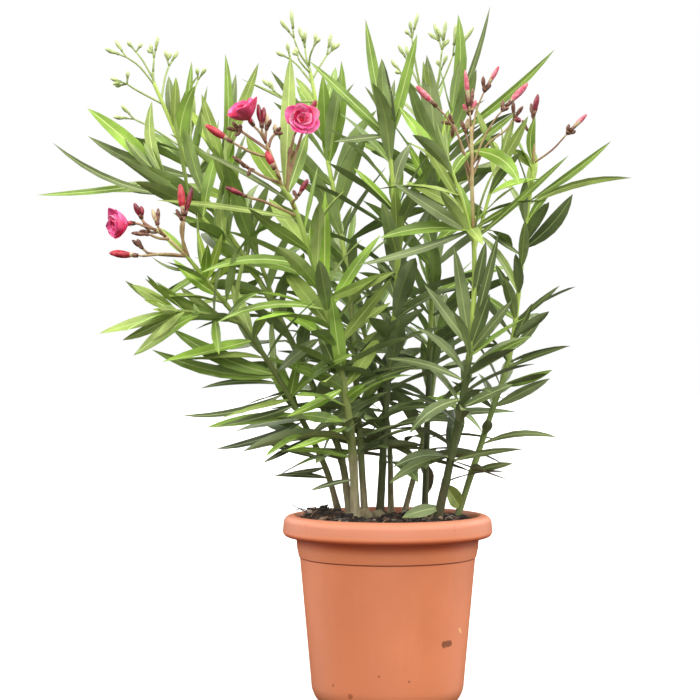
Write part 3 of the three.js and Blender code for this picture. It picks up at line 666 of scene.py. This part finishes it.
class Shoot:
    def __init__(self, facts):
        defaults = dict(parent=None, bald=(2, 2), fallen=(), reaches=(), lying=())
        self.__dict__.update(defaults, **facts)
        self.lowest, self.spacing, self.leaf = self.whorls
        if self.parent:
            points = [shoots[self.parent].curve.point(self.joins / 100), *self.path]
        else:
            points = [(*self.path[0], SOIL_LEVEL + CLEAR), *self.path[1:]]
        self.curve = Curve(points)
        self.length = self.curve.length
        self.leaves = []
        self.nodes_at = []
        self.reach_out(self.reaches)
        self.leaf_out()
        self.reach_out(self.lying)

    def reach_out(self, reaches):
        for start, x, y, z, width, tone, *bow in reaches:
            u = start / 100
            base = self.curve.point(u)
            if u > 1:
                head = HEADS[self.name]
                base = base.lerp(in_frame(*head["main"][-1], head["depth"]), u - 1)
            self.leaves.append(dict(base=base, run=Vector((x, y, z)), up=Vector((0, -1, 0)),
                                    width=width, bow=bow[0] if bow else 0, tone=tone, sag=0,
                                    roll=LEAF_ROLL / 4))

    def leaf_out(self):
        draw = seeded(self.seed)
        count = int((self.length - self.lowest) // self.spacing)
        for whorl in range(count + 1):
            distance = self.lowest + (whorl + draw() * STRAY["spacing"]) * self.spacing
            u = min(distance / self.length, 1 - SUNK / self.length)
            young = whorl / count
            turn = draw() * STRAY["turn"] + whorl * 180 / WHORL
            hidden = self.bald[0] < u < self.bald[1]
            if not hidden:
                self.nodes_at.append(u * self.length)
            for k in range(WHORL):
                pitch = mix(OLD["pitch"], YOUNG["pitch"], young) + spread(draw, STRAY["pitch"])
                bearing = turn + k * 360 / WHORL + spread(draw, STRAY["bearing"])
                size = mix(OLD["size"], YOUNG["size"], young ** 2)
                size *= 0.8 + STRAY["size"] * draw()
                sag = mix(OLD["sag"], YOUNG["sag"], young) * (0.4 + 1.1 * draw())
                roll = spread(draw, LEAF_ROLL)
                if not hidden and whorl * WHORL + k not in self.fallen:
                    self.add_leaf(u, pitch, bearing, size * self.leaf, sag, roll, young)

    def add_leaf(self, u, pitch, bearing, length, sag, roll, young):
        axis = self.curve.tangent(u)
        level = Vector((0, -1, 0))
        level = (level - axis * level.dot(axis)).normalized()
        outward = turned(level, axis, bearing)
        lean = math.radians(pitch)
        run = (axis * math.cos(lean) + outward * math.sin(lean)) * length
        self.leaves.append(dict(base=self.curve.point(u), run=run, up=axis, sag=sag, roll=roll,
                                width=LEAF_WIDTH * length, young=young))

    def tip_leaves(self):
        """The small leaves that still stand close round the growing tip."""
        draw = seeded(self.seed + 700)
        for k in range(7):
            length = self.leaf * mix(0.5, 0.24, k / 6)
            self.add_leaf(1 - 2 / self.length, mix(24, 7, k / 6) + spread(draw, 8),
                          k * GOLDEN_ANGLE, length, 0, spread(draw, 50), 1)


ALONG = (0, 0.05, 0.14, 0.28, 0.44, 0.6, 0.75, 0.88)  # a leaf's rings of vertices, below its tip
LEAF_EDGE = 70  # degrees; the leaf's surface breaks where its faces turn by more
SAG_SHARE = 0.72


def leaf_half_width(u):
    """Widest a little below the middle, drawn out to a stalk and a point."""
    return max(math.sin(math.pi * u ** 0.95) ** 0.78, 0.11)


class LeafStack:
    """Leaves gathered as plain lists and joined into one mesh."""

    def __init__(self):
        self.verts = []
        self.faces = []
        self.tones = []

    def add(self, leaf, draw, tone):
        run = leaf["run"]
        length = run.length
        forward = run.normalized()
        side = turned(leaf["up"].cross(forward).normalized(), forward, leaf["roll"])
        fold = mix(0.12, 0.5, draw())
        arch = mix(-0.05, 0.14, draw())
        bow = spread(draw, 0.16)
        left = forward.cross(Vector((0, 1, 0))) * 4 * leaf.get("bow", 0)
        if "bow" in leaf:  # placed one by one, so it bends only as it is told
            arch = bow = 0
        twist = spread(draw, 80)
        wave = mix(0.0, 0.12, draw())
        phase = draw() * 6
        first = len(self.verts)
        for u in ALONG:
            across = turned(side, forward, twist * (u - 0.3))
            face = forward.cross(across)
            middle = leaf["base"] + run * u + (face * arch + side * bow) * length * 2 * u * (1 - u)
            middle += left * u * (1 - u)
            middle.z -= leaf["sag"] * length * u * (u + 0.4) * SAG_SHARE
            half = leaf["width"] / 2 * leaf_half_width(u)
            rib = min(mix(0.8, 0.35, u), half * 0.5) / half
            for a in (-1, -0.5, -rib, rib, 0.5, 1):
                lift = fold * abs(a) - 0.14 * a * a + wave * a * math.sin(9 * u + phase)
                self.verts.append(middle + across * (a * half) + face * (lift * half))
            for a in (rib, -rib):
                self.verts.append(middle + across * (a * half) - face * (0.04 * half + 0.35))
        tip = leaf["base"] + run
        tip.z -= leaf["sag"] * length * 1.4 * SAG_SHARE
        self.verts.append(tip)
        self.knit(first, tone)

    def knit(self, first, tone):
        under = min(tone // 2, len(UNDER_TONES) - 1)
        blade, back = tone, len(LEAF_TONES) + under
        rib = back + len(UNDER_TONES)
        tones = (blade, blade, rib, blade, blade, back, rib, back)
        around = len(tones)
        tip = first + len(ALONG) * around
        for ring in range(len(ALONG)):
            for k in range(around):
                a, b = first + ring * around + k, first + ring * around + (k + 1) % around
                last = (tip,) if ring + 1 == len(ALONG) else (b + around, a + around)
                self.faces.append((a, b, *last))
                self.tones.append(tones[k])
        self.faces.append(tuple(first + k for k in reversed(range(around))))
        self.tones.append(back)

    def mesh(self, name):
        mesh = bpy.data.meshes.new(name)
        mesh.from_pydata([vert * MM for vert in self.verts], [], self.faces)
        mesh.polygons.foreach_set("material_index", self.tones)
        mesh.polygons.foreach_set("use_smooth", [True] * len(self.faces))
        mesh.set_sharp_from_angle(angle=math.radians(LEAF_EDGE))
        mesh.update()
        return mesh


def leaves_of(shoot, materials):
    stack = LeafStack()
    draw = seeded(shoot.seed + 500)
    if shoot.name not in HEADS:
        shoot.tip_leaves()
    for leaf in shoot.leaves:
        tone = leaf.get("tone")
        if tone is None:
            tone = min(max(round(mix(*shoot.tones, leaf["young"]) + spread(draw, 2.2)), 0),
                       len(LEAF_TONES) - 1)
        stack.add(leaf, draw, tone)
    name = f"leaves_{shoot.name}"
    seated(name, stack.mesh(name), materials, [f"foliage_{shoot.name}"])


def stem_of(shoot, bark):
    """The whole stem from the compost to the tip, swollen at each whorl and corky below."""
    foot, tip, woody = shoot.stem

    def radius_at(u, angle):
        radius = mix(foot, tip, u)
        if not shoot.parent:
            radius *= 1 + 0.35 * math.exp(-u * shoot.length / 9)
        here = u * shoot.length
        for node in shoot.nodes_at:
            radius *= 1 + 0.16 * math.exp(-(((here - node) / 2.4) ** 2))
        around = Vector((math.cos(angle) * 1.4, math.sin(angle) * 1.4, here * 0.035 + shoot.seed))
        rough = 0.13 if u < woody else 0.04
        return radius * (1 + rough * noise.noise(around) + rough * 0.5 * noise.noise(around * 3))

    cuts = max(int(shoot.length / 4), 8)
    shape = bent(rod(12, cuts), shoot.curve, radius_at)
    name = f"stem_of_{shoot.name}"
    if shoot.parent:
        settled(name, shape, [bark])
    else:
        for vert in shape.verts:
            vert.co.z = max(vert.co.z, SOIL_LEVEL)
        settled(name, shape, [bark], [f"stem_{shoot.name}"])


# ---- Flower heads ----

RED_LOOKS = [  # name, pale and deep colours, roughness and the scale of its clouds
    ("petal_pink", (252, 132, 184), (242, 80, 146)),
    ("petal_rose", (240, 84, 130), (222, 48, 98)),
    ("petal_pale", (254, 182, 206), (246, 116, 162)),
    ("petal_deep", (220, 48, 96), (190, 30, 74)),
    ("bud_red", (216, 72, 82), (158, 26, 42), 0.4, 220),
    ("bud_pink", (232, 138, 146), (204, 74, 100), 0.4, 220),
    ("bud_dark", (166, 54, 66), (96, 28, 40), 0.4, 220),
    ("bud_tube", (212, 202, 154), (190, 156, 120), 0.5, 260),
    ("calyx", (152, 112, 82), (88, 42, 44), 0.5, 300),
    ("flower_stalk", (172, 152, 102), (144, 98, 76), 0.5, 70),
    ("main_stalk", (196, 184, 128), (180, 148, 102), 0.5, 70),
]
GREEN_LOOKS = [
    ("green_stalk", (172, 186, 118), (148, 166, 96)),
    ("green_bud", (210, 220, 160), (174, 190, 120)),
    ("green_sepal", (182, 194, 124), (152, 168, 98)),
]
PETALS = 4  # the first four red looks; the names below are the numbers of the others
BUD_RED, BUD_PINK, BUD_DARK, TUBE, CALYX, STALK, MAIN_STALK = range(PETALS, len(RED_LOOKS))
GREEN_STALK, GREEN_BUD, GREEN_SEPAL = range(len(GREEN_LOOKS))
RINGS_OF_PETALS = (5, 0.76), (5, 0.68), (4, 0.56), (3, 0.44)  # how many, and their size
CUPPED = (66, 24), (50, 6), (34, -12), (20, -20)  # how far each ring leans at its claw and edge
BUD_LOOKS = {  # material, girth and calyx length of each kind of bud
    "red": (BUD_RED, 4.3, 9), "pink": (BUD_PINK, 2.7, 10), "plump": (BUD_PINK, 3.7, 12),
    "dark": (BUD_DARK, 3.2, 8), "cream": (TUBE, 2.6, 8), "brown": (CALYX, 2.4, 6),
}


def in_frame(across, down, depth):
    """The point at a place in the camera's frame, counted in 700ths, and at a depth."""
    scale = (depth - CAMERA_PLACE[1] / MM) / FOCAL_PIXELS
    half = FRAME_PIXELS / 2
    return Vector((CAMERA_PLACE[0] / MM + (across - half) * scale, depth,
                   CAMERA_PLACE[2] / MM + (half - down) * scale))


def stalk(target, points, thick, thin, material):
    curve = Curve(points)
    shape = rod(6, max(2, int(curve.length / 7)))
    poured(target, bent(shape, curve, lambda u, angle: mix(thick, thin, u)), material)


def laid(shape, base, axis):
    """Turns a shape that was made up along Z to lie along an axis from its base."""
    lie = Vector((0, 0, 1)).rotation_difference(axis).to_matrix()
    for vert in shape.verts:
        vert.co = base + lie @ vert.co


def span(start, end):
    """The direction from one point to another, and how far it is."""
    return (end - start).normalized(), (end - start).length


def bud(target, base, tip, girth, body, tube, furl=0.0, tube_share=0.3):
    """A bud: a slim tube that swells into furled petals with a spiral ridge, and a point."""
    axis, length = span(base, tip)
    shape = bmesh.new()
    bmesh.ops.create_uvsphere(shape, u_segments=10, v_segments=11, radius=1)
    for vert in shape.verts:
        u = (vert.co.z + 1) / 2
        angle = math.atan2(vert.co.y, vert.co.x)
        swell = 0.42 + 0.58 * math.sin(math.pi * min(max(u - 0.18, 0) / 0.78, 1)) ** 0.8
        ridge = 1 + furl * math.cos(3 * angle + 7 * u) * min(u * 2, 1)
        wide = girth * swell * ridge * min(math.hypot(vert.co.x, vert.co.y) * 2.2, 1)
        vert.co = Vector((math.cos(angle) * wide, math.sin(angle) * wide, u * length))
    laid(shape, base, axis)
    for face in shape.faces:
        low = (face.calc_center_median() - base).dot(axis) < length * tube_share
        face.material_index = tube if low else body
    poured(target, shape)


def sepals(target, base, axis, length, radius, material, count=5, flare=0.3):
    """Narrow pointed lobes round the foot of a bud or flower."""
    for k in range(count):
        lobe = bmesh.new()
        bmesh.ops.create_cone(lobe, cap_ends=True, segments=5, radius1=length * 0.15,
                              radius2=0.1, depth=length)
        bmesh.ops.translate(lobe, vec=(0, 0, length / 2), verts=lobe.verts)
        bmesh.ops.scale(lobe, vec=(0.55, 1.25, 1), verts=lobe.verts)
        stand = (Matrix.Rotation(2 * math.pi * k / count, 3, "Z")
                 @ Matrix.Rotation(flare, 3, "Y"))
        for vert in lobe.verts:
            vert.co = stand @ (vert.co + Vector((radius * 0.8, 0, 0)))
        laid(lobe, base, axis)
        poured(target, lobe, material)


def petal(target, root, level, facing, azimuth, length, width, opening, ruffle, phase, material):
    """A broad petal on a cup: it rises from its claw along the facing and opens outwards.

    `opening` is how far it leans from the facing at its claw and at its edge, in degrees.
    """
    shape = bmesh.new()
    bmesh.ops.create_grid(shape, x_segments=6, y_segments=6, size=1)
    lean, edge = (math.radians(angle) for angle in opening)
    turn = edge - lean
    for vert in shape.verts:
        u, a = (vert.co.y + 1) / 2, vert.co.x
        reach = length * (1 - 0.22 * a * a)
        out = reach * (math.cos(lean) - math.cos(lean + turn * u)) / turn
        rise = reach * (math.sin(lean + turn * u) - math.sin(lean)) / turn
        half = width / 2 * (0.22 + 0.78 * math.sin(math.pi * min(u * 0.6, 1)) ** 0.8)
        fold = ruffle * length * u * math.sin(a * 3.6 + phase)
        out += fold + 0.07 * length * a * u
        rise += 0.6 * ruffle * length * u * math.cos(a * 5 + phase)
        around = azimuth + a * half / max(out + 1.5, 4)
        vert.co = (root + facing * rise + turned(level, facing, math.degrees(around)) * (out + 0.8))
    bmesh.ops.solidify(shape, geom=shape.faces, thickness=0.3)
    poured(target, shape, material)


def flower(target, fork, draw, place, facing, width, leans=CUPPED, tones=(1, 0, 1, 3)):
    """A loose double flower: a cup of broad overlapping petals round smaller crumpled ones.

    `leans` and `tones` are the opening and the material of each ring of petals, from the outside.
    """
    facing = Vector(facing).normalized()
    heel = in_frame(*place, fork.y) - facing * width * 0.28
    foot = heel - facing * 8
    stalk(target, [fork, (fork + foot) / 2 - facing * 2, foot], 1.3, 1.5, STALK)
    bud(target, foot, heel + facing * 5, 2.8, BUD_RED, CALYX)
    sepals(target, foot, facing, 8, 1.8, CALYX)
    level = facing.orthogonal().normalized()
    for (count, size), opening, tone in zip(RINGS_OF_PETALS, leans, tones):
        start = draw() * 2 * math.pi
        for k in range(count):
            length = width * size * mix(0.88, 1.1, draw())
            lean, edge = (angle * mix(0.85, 1.15, draw()) for angle in opening)
            azimuth = start + (k + spread(draw, 0.3)) * 2 * math.pi / count
            petal(target, heel, level, facing, azimuth,
                  length, length * 1.2, (lean, edge), 0.03 + 0.03 * draw(), draw() * 6,
                  tone if draw() < 0.65 else int(draw() * PETALS))


def head_of(shoot, facts, name, materials):
    """A head of flowers and buds on sprays that branch from the shoot and its main stalk."""
    draw = seeded(shoot.seed + 100)
    shape = bmesh.new()
    depth = facts["depth"]
    green = shoot.name in GREEN_HEADS
    main = Curve([shoot.curve.point(0.99), *(in_frame(*place, depth) for place in facts["main"])])
    girth = facts.get("girth", 2.1)
    stalk(shape, main.points, girth, girth * 0.8, GREEN_STALK if green else MAIN_STALK)
    for spray in facts["sprays"]:
        start = spray["start"] / 100
        points = [shoot.curve.point(start) if start <= 1 else main.point(start - 1)]
        steps = len(spray["points"])
        for i, place in enumerate(spray["points"]):
            away = mix(points[0].y, depth + spray["behind"], (i + 1) / steps)
            points.append(in_frame(*place, away))
        if len(points) == 2:
            points.insert(1, (points[0] + points[1]) / 2 + Vector((0, spread(draw, 1), -1)))
        thick = facts.get("stalk", 1.5 if green else 2)
        stalk(shape, points, thick, thick * 0.78, GREEN_STALK if green else STALK)
        fork = points[-1]
        for place, kind in spray["tips"]:
            end = in_frame(*place, fork.y + spread(draw, 12))
            if green:
                green_bud(shape, fork, end, draw)
            else:
                red_bud(shape, fork, end, kind)
        if spray["flower"]:
            flower(shape, fork, draw, **spray["flower"])
    settled(name, shape, materials)


def red_bud(target, fork, end, kind):
    body, girth, calyx = BUD_LOOKS[kind]
    axis, length = span(fork, end)
    start = fork + axis * max(0, length * 0.2 - 2)
    stalk(target, [fork, (fork + start) / 2, start + axis * 0.5], 1.2, 1.1, STALK)
    calyx = min(calyx, (end - start).length * 0.55)
    bud(target, start, end, girth, body, body if kind in ("dark", "brown") else TUBE, 0.1,
        0.5 if kind == "pink" else 0.3)
    wide = max(girth * 0.66, 2)
    bud(target, start - axis, start + axis * calyx * 0.8, wide, CALYX, CALYX)
    sepals(target, start, axis, calyx, wide * 0.7, CALYX, 5, 0.1)


def green_bud(target, fork, end, draw):
    """Slender pale buds, at times in a V: one on the stalk's own line, and sometimes a second that
    leans from it.
    """
    axis, length = span(fork, end)
    start = fork + axis * length * 0.34
    stalk(target, [fork, (fork + start) / 2, start + axis], 1.2, 1.1, GREEN_STALK)
    lean = 36 if draw() < 0.5 else -36
    for turn, share in ((0, 0.66), (lean, 0.5))[:1 + int(draw() * 1.6)]:
        out = turned(axis, Vector((spread(draw, 0.8), 1, 0)).normalized(), turn)
        tip = start + out * length * share
        bud(target, start, tip, 2.5, GREEN_BUD, GREEN_SEPAL, 0.08)
        sepals(target, start, out, length * share * 0.36, 1.3, GREEN_SEPAL, 3, 0.1)


# ---- The pot ----


def arc(centre_r, centre_z, radius, start, stop, steps):
    for i in range(steps + 1):
        angle = math.radians(mix(start, stop, i / steps))
        yield centre_r + radius * math.cos(angle), centre_z + radius * math.sin(angle)


def pot_profile():
    yield 0, 0
    yield from arc(UNDERSIDE_RADIUS, CORNER_RADIUS, CORNER_RADIUS, -90, 0, 12)
    yield SHOULDER_RADIUS, SHOULDER_Z - 1
    yield SHOULDER_RADIUS + 0.6, GROOVE_Z - 0.7
    yield SHOULDER_RADIUS - 0.5, GROOVE_Z - 0.3
    yield SHOULDER_RADIUS - 0.5, GROOVE_Z + 0.3
    yield SHOULDER_RADIUS + 1.7, GROOVE_Z + 0.8
    yield SHOULDER_RADIUS + 2.1, GROOVE_Z + 2
    yield COLLAR_RADIUS - 0.7, COLLAR_Z + 2
    yield COLLAR_RADIUS + 0.2, COLLAR_Z + 5
    yield RIM_UNDER_RADIUS - 0.2, RIM_UNDER_Z - 3
    yield RIM_UNDER_RADIUS + 0.8, RIM_UNDER_Z - 1.4
    yield from arc(RIM_RADIUS - 6, RIM_UNDER_Z + 4.8, 6, -90, 6, 8)
    yield from arc(RIM_RADIUS - 9, POT_HEIGHT - 9, 8.2, 8, 84, 8)
    yield from arc(RIM_RADIUS - 11.5, POT_HEIGHT - 5, 5, 100, 170, 6)
    yield RIM_UNDER_RADIUS - WALL + 0.6, POT_HEIGHT - 12
    yield RIM_UNDER_RADIUS - WALL, RIM_UNDER_Z
    yield SHOULDER_RADIUS - WALL, SHOULDER_Z
    yield from arc(UNDERSIDE_RADIUS, CORNER_RADIUS, CORNER_RADIUS - WALL, 0, -90, 8)
    yield 0, WALL


def spun(profile, steps):
    shape = bmesh.new()
    verts = [shape.verts.new((r, 0, z)) for r, z in profile]
    edges = [shape.edges.new(pair) for pair in zip(verts, verts[1:])]
    bmesh.ops.spin(shape, geom=verts + edges, axis=(0, 0, 1), cent=(0, 0, 0), dvec=(0, 0, 0),
                   angle=2 * math.pi, steps=steps, use_merge=True)
    bmesh.ops.remove_doubles(shape, verts=shape.verts, dist=0.001)
    return shape


def make_pot():
    shape = spun(pot_profile(), POT_STEPS)
    for edge in shape.edges:
        edge.smooth = edge.calc_face_angle(0) < POT_EDGE
    pot = settled("pot_moulding", shape, [pot_finish()], ["pot"])
    drills = bmesh.new()
    for i in range(DRAIN_HOLES):
        bearing = math.radians(DRAIN_BEARING + 360 * i / DRAIN_HOLES)
        place = (Matrix.Rotation(bearing, 4, "Z") @ Matrix.Translation((0, -DRAIN_RING, DRAIN_Z))
                 @ Matrix.Rotation(math.radians(DRAIN_TILT), 4, "X"))
        bmesh.ops.create_cone(drills, cap_ends=True, segments=24, radius1=DRAIN_RADIUS,
                              radius2=DRAIN_RADIUS, depth=DRILL_LENGTH, matrix=place)
    bmesh.ops.scale(drills, vec=(MM, MM, MM), verts=drills.verts)
    drill = added("drills", mesh_of("drills", drills))
    cut = pot.modifiers.new("drain_holes", "BOOLEAN")
    cut.object = drill
    cut.operation = "DIFFERENCE"
    cut.solver = "EXACT"
    finished = pot.evaluated_get(bpy.context.evaluated_depsgraph_get())
    pot.data = bpy.data.meshes.new_from_object(finished)
    pot.modifiers.clear()
    bpy.data.objects.remove(drill)


# ---- Compost ----


def ground_height(x, y):
    """The compost's height above its level: humps, highest at the left, and lower by the wall."""
    here = Vector((x * 0.022, y * 0.022, 3.7))
    hump = 5 * noise.noise(here) + 3 * noise.noise(here * 3) + 1.3 * noise.noise(here * 9)
    left = 15 * math.exp(-((x + 74) ** 2 + (y - 8) ** 2) / 700)
    return hump + left + 1.5 - 5 * max(0, math.hypot(x, y) / SOIL_RADIUS - 0.86) / 0.14


def on_compost(x, y, above):
    return Vector((x, y, SOIL_LEVEL + ground_height(x, y) + above))


def scattered(draw, radius):
    angle, away = draw() * 2 * math.pi, radius * math.sqrt(draw())
    return away * math.cos(angle), away * math.sin(angle)


def make_compost():
    rings = [(SOIL_RADIUS * i / SOIL_RINGS, SOIL_LEVEL) for i in range(SOIL_RINGS + 1)]
    under = SOIL_LEVEL - SOIL_DEPTH
    shape = spun([*rings, (SOIL_RADIUS - 2, under), (0, under)], SOIL_STEPS)
    for vert in shape.verts:
        if vert.co.z > SOIL_LEVEL - 1:
            vert.co.z += ground_height(vert.co.x, vert.co.y)
    settled("compost", shape, [soil_finish()], ["soil"])


CRUMB_LOOKS = [  # name, pale and deep colours, and roughness
    ("crumb_dark", (46, 36, 28), (24, 19, 15), 0.95),
    ("crumb_brown", (82, 60, 44), (46, 34, 25), 0.9),
    ("bark_chip", (150, 124, 96), (98, 76, 56), 0.85),
    ("grey_fibre", (150, 140, 124), (98, 90, 80), 0.9),
]
CRUMB_SHARES = (0.66, 0.9, 0.97)  # where the draw passes to the next look
ROOTS = [[(-76, 2, 216), (-91, 0, 222), (-109, -1, 231.5)],
         [(-80, 3, 218), (-96, 2, 226), (-104, 1, 225)]]


def make_crumbs():
    """Loose crumbs, bark chips, fibres and root bits on the compost."""
    draw = seeded(5)
    shape = bmesh.new()
    for i in range(CRUMBS):
        x, y = scattered(draw, SOIL_RADIUS - 3)
        size = mix(1.3, 4.6, draw() ** 2)
        long = mix(1, 2.2, draw() ** 2)
        lump = bmesh.new()
        bmesh.ops.create_icosphere(lump, subdivisions=1, radius=size)
        for vert in lump.verts:
            vert.co *= mix(0.65, 1.25, draw())
        tilt = (Matrix.Rotation(draw() * 6.28, 3, "Z") @ Matrix.Rotation(spread(draw, 1), 3, "Y")
                @ Matrix.Diagonal((long, 1, mix(0.5, 0.9, draw()))))
        bmesh.ops.transform(lump, matrix=tilt.to_4x4(), verts=lump.verts)
        bmesh.ops.translate(lump, vec=on_compost(x, y, size * 0.25), verts=lump.verts)
        poured(shape, lump, bisect_right(CRUMB_SHARES, draw()))
    for i in range(FIBRES):
        x, y = scattered(draw, SOIL_RADIUS - 9)
        lie = Vector((spread(draw, 2), spread(draw, 2), spread(draw, 0.3))).normalized()
        start = on_compost(x, y, 1.2)
        end = start + lie * mix(8, 22, draw())
        end = on_compost(end.x, end.y, 1.5)
        if math.hypot(end.x, end.y) < SOIL_RADIUS - 2:
            middle = (start + end) / 2 + Vector((0, 0, 2))
            stalk(shape, [start, middle, end], 0.5, 0.3, 2 + i % 2)
    for root in ROOTS:
        stalk(shape, root, 0.9, 0.5, 0)
    settled("crumbs", shape, [soft_finish(*look) for look in CRUMB_LOOKS])


KNOBS = [  # place, half width and half height of each lump
    (-25, 20, 213, 10, 12), (-40, 24, 212, 9, 10), (-10, 36, 212, 10, 10), (54, 2, 211, 8, 8)]


def make_crown_knob(bark):
    """The knobbly woody crown that the middle stems rise from."""
    shape = bmesh.new()
    for x, y, z, wide, high in KNOBS:
        lump = bmesh.new()
        bmesh.ops.create_uvsphere(lump, u_segments=24, v_segments=16, radius=1)
        for vert in lump.verts:
            swell = 1 + 0.22 * noise.noise(vert.co * 2.1 + Vector((x, y, 0)))
            swell += 0.08 * noise.noise(vert.co * 7)
            co = vert.co * swell
            vert.co = Vector((x + co.x * wide, y + co.y * wide, z + co.z * high))
        poured(shape, lump)
    settled("crown_knob", shape, [bark])


# ---- The stage ----


def make_floor():
    bpy.ops.mesh.primitive_plane_add(size=30)
    floor = bpy.context.object
    floor.name = "studio_floor"
    floor.data.materials.append(floor_finish())
    floor.visible_diffuse = False
    floor.visible_glossy = False
    floor.visible_shadow = False


LIGHTS = [  # name, bearing from the front towards +X, height and breadth in degrees, and power
    ("front", 10, 42, 40, 1.8), ("left", -62, 38, 45, 2.2), ("right", 66, 38, 45, 2.2),
    ("back_left", -135, 38, 50, 1.5), ("back_right", 135, 38, 50, 1.5), ("top", 0, 90, 60, 0.6),
    ("low_front", 0, 4, 60, 0.85), ("low_left", -110, 4, 60, 0.8), ("low_right", 110, 4, 60, 0.8),
    ("below", 0, -70, 80, 0.12),
]


def soft_sun(name, bearing, height, breadth, power):
    """A broad far light that shines on the plant from a bearing and a height."""
    light = bpy.data.lights.new(name, "SUN")
    light.angle = math.radians(breadth)
    light.energy = power
    side, up = math.radians(bearing), math.radians(height)
    heading = (-math.sin(side) * math.cos(up), math.cos(side) * math.cos(up), -math.sin(up))
    added(name, light).rotation_euler = Vector(heading).to_track_quat("-Z", "Y").to_euler()


def make_lights():
    world = bpy.data.worlds.new("studio")
    world.use_nodes = True
    world.node_tree.nodes["Background"].inputs[0].default_value = (1, 1, 1, 1)
    world.cycles_visibility.diffuse = False
    world.cycles_visibility.glossy = False
    bpy.context.scene.world = world
    for light in LIGHTS:
        soft_sun(*light)


def make_camera():
    camera = bpy.data.cameras.new("camera")
    camera.sensor_width = SENSOR
    camera.lens = FOCAL_PIXELS / FRAME_PIXELS * SENSOR
    viewer = added("camera", camera)
    viewer.location = CAMERA_PLACE
    viewer.rotation_euler = (math.pi / 2, 0, 0)
    bpy.context.scene.camera = viewer


# ---- Putting it together ----

make_camera()
make_lights()
make_floor()
make_pot()
make_compost()
make_crumbs()

leaf_materials = [leaf_finish(f"leaf_{i}", tone, 0.3 + 0.02 * i)
                  for i, tone in enumerate(LEAF_TONES)]
leaf_materials += [leaf_finish(f"leaf_back_{i}", tone, 0.5)
                   for i, tone in enumerate(UNDER_TONES)]
leaf_materials += [rib_finish(f"leaf_rib_{i}", tone) for i, tone in enumerate(RIB_TONES)]

bark, pale_bark, green_bark, dark_bark = [bark_finish(*look) for look in BARK_LOOKS]
barks = {"front": pale_bark, "far_right": green_bark,
         "right_front": dark_bark, "right_back": dark_bark, "centre": dark_bark}
red_materials = [soft_finish(*look) for look in RED_LOOKS]
green_materials = [soft_finish(*look) for look in GREEN_LOOKS]

shoots = {}
for facts in SHOOTS:
    shoots[facts["name"]] = Shoot(facts)
for shoot in shoots.values():
    stem_of(shoot, barks.get(shoot.name, bark))
    leaves_of(shoot, leaf_materials)
for name, facts in RED_HEADS.items():
    head_of(shoots[name], facts, f"blossom_{name}", red_materials)
for name, facts in GREEN_HEADS.items():
    head_of(shoots[name], facts, f"green_buds_{name}", green_materials)
make_crown_knob(bark)

bpy.context.scene.view_settings.view_transform = "Standard"
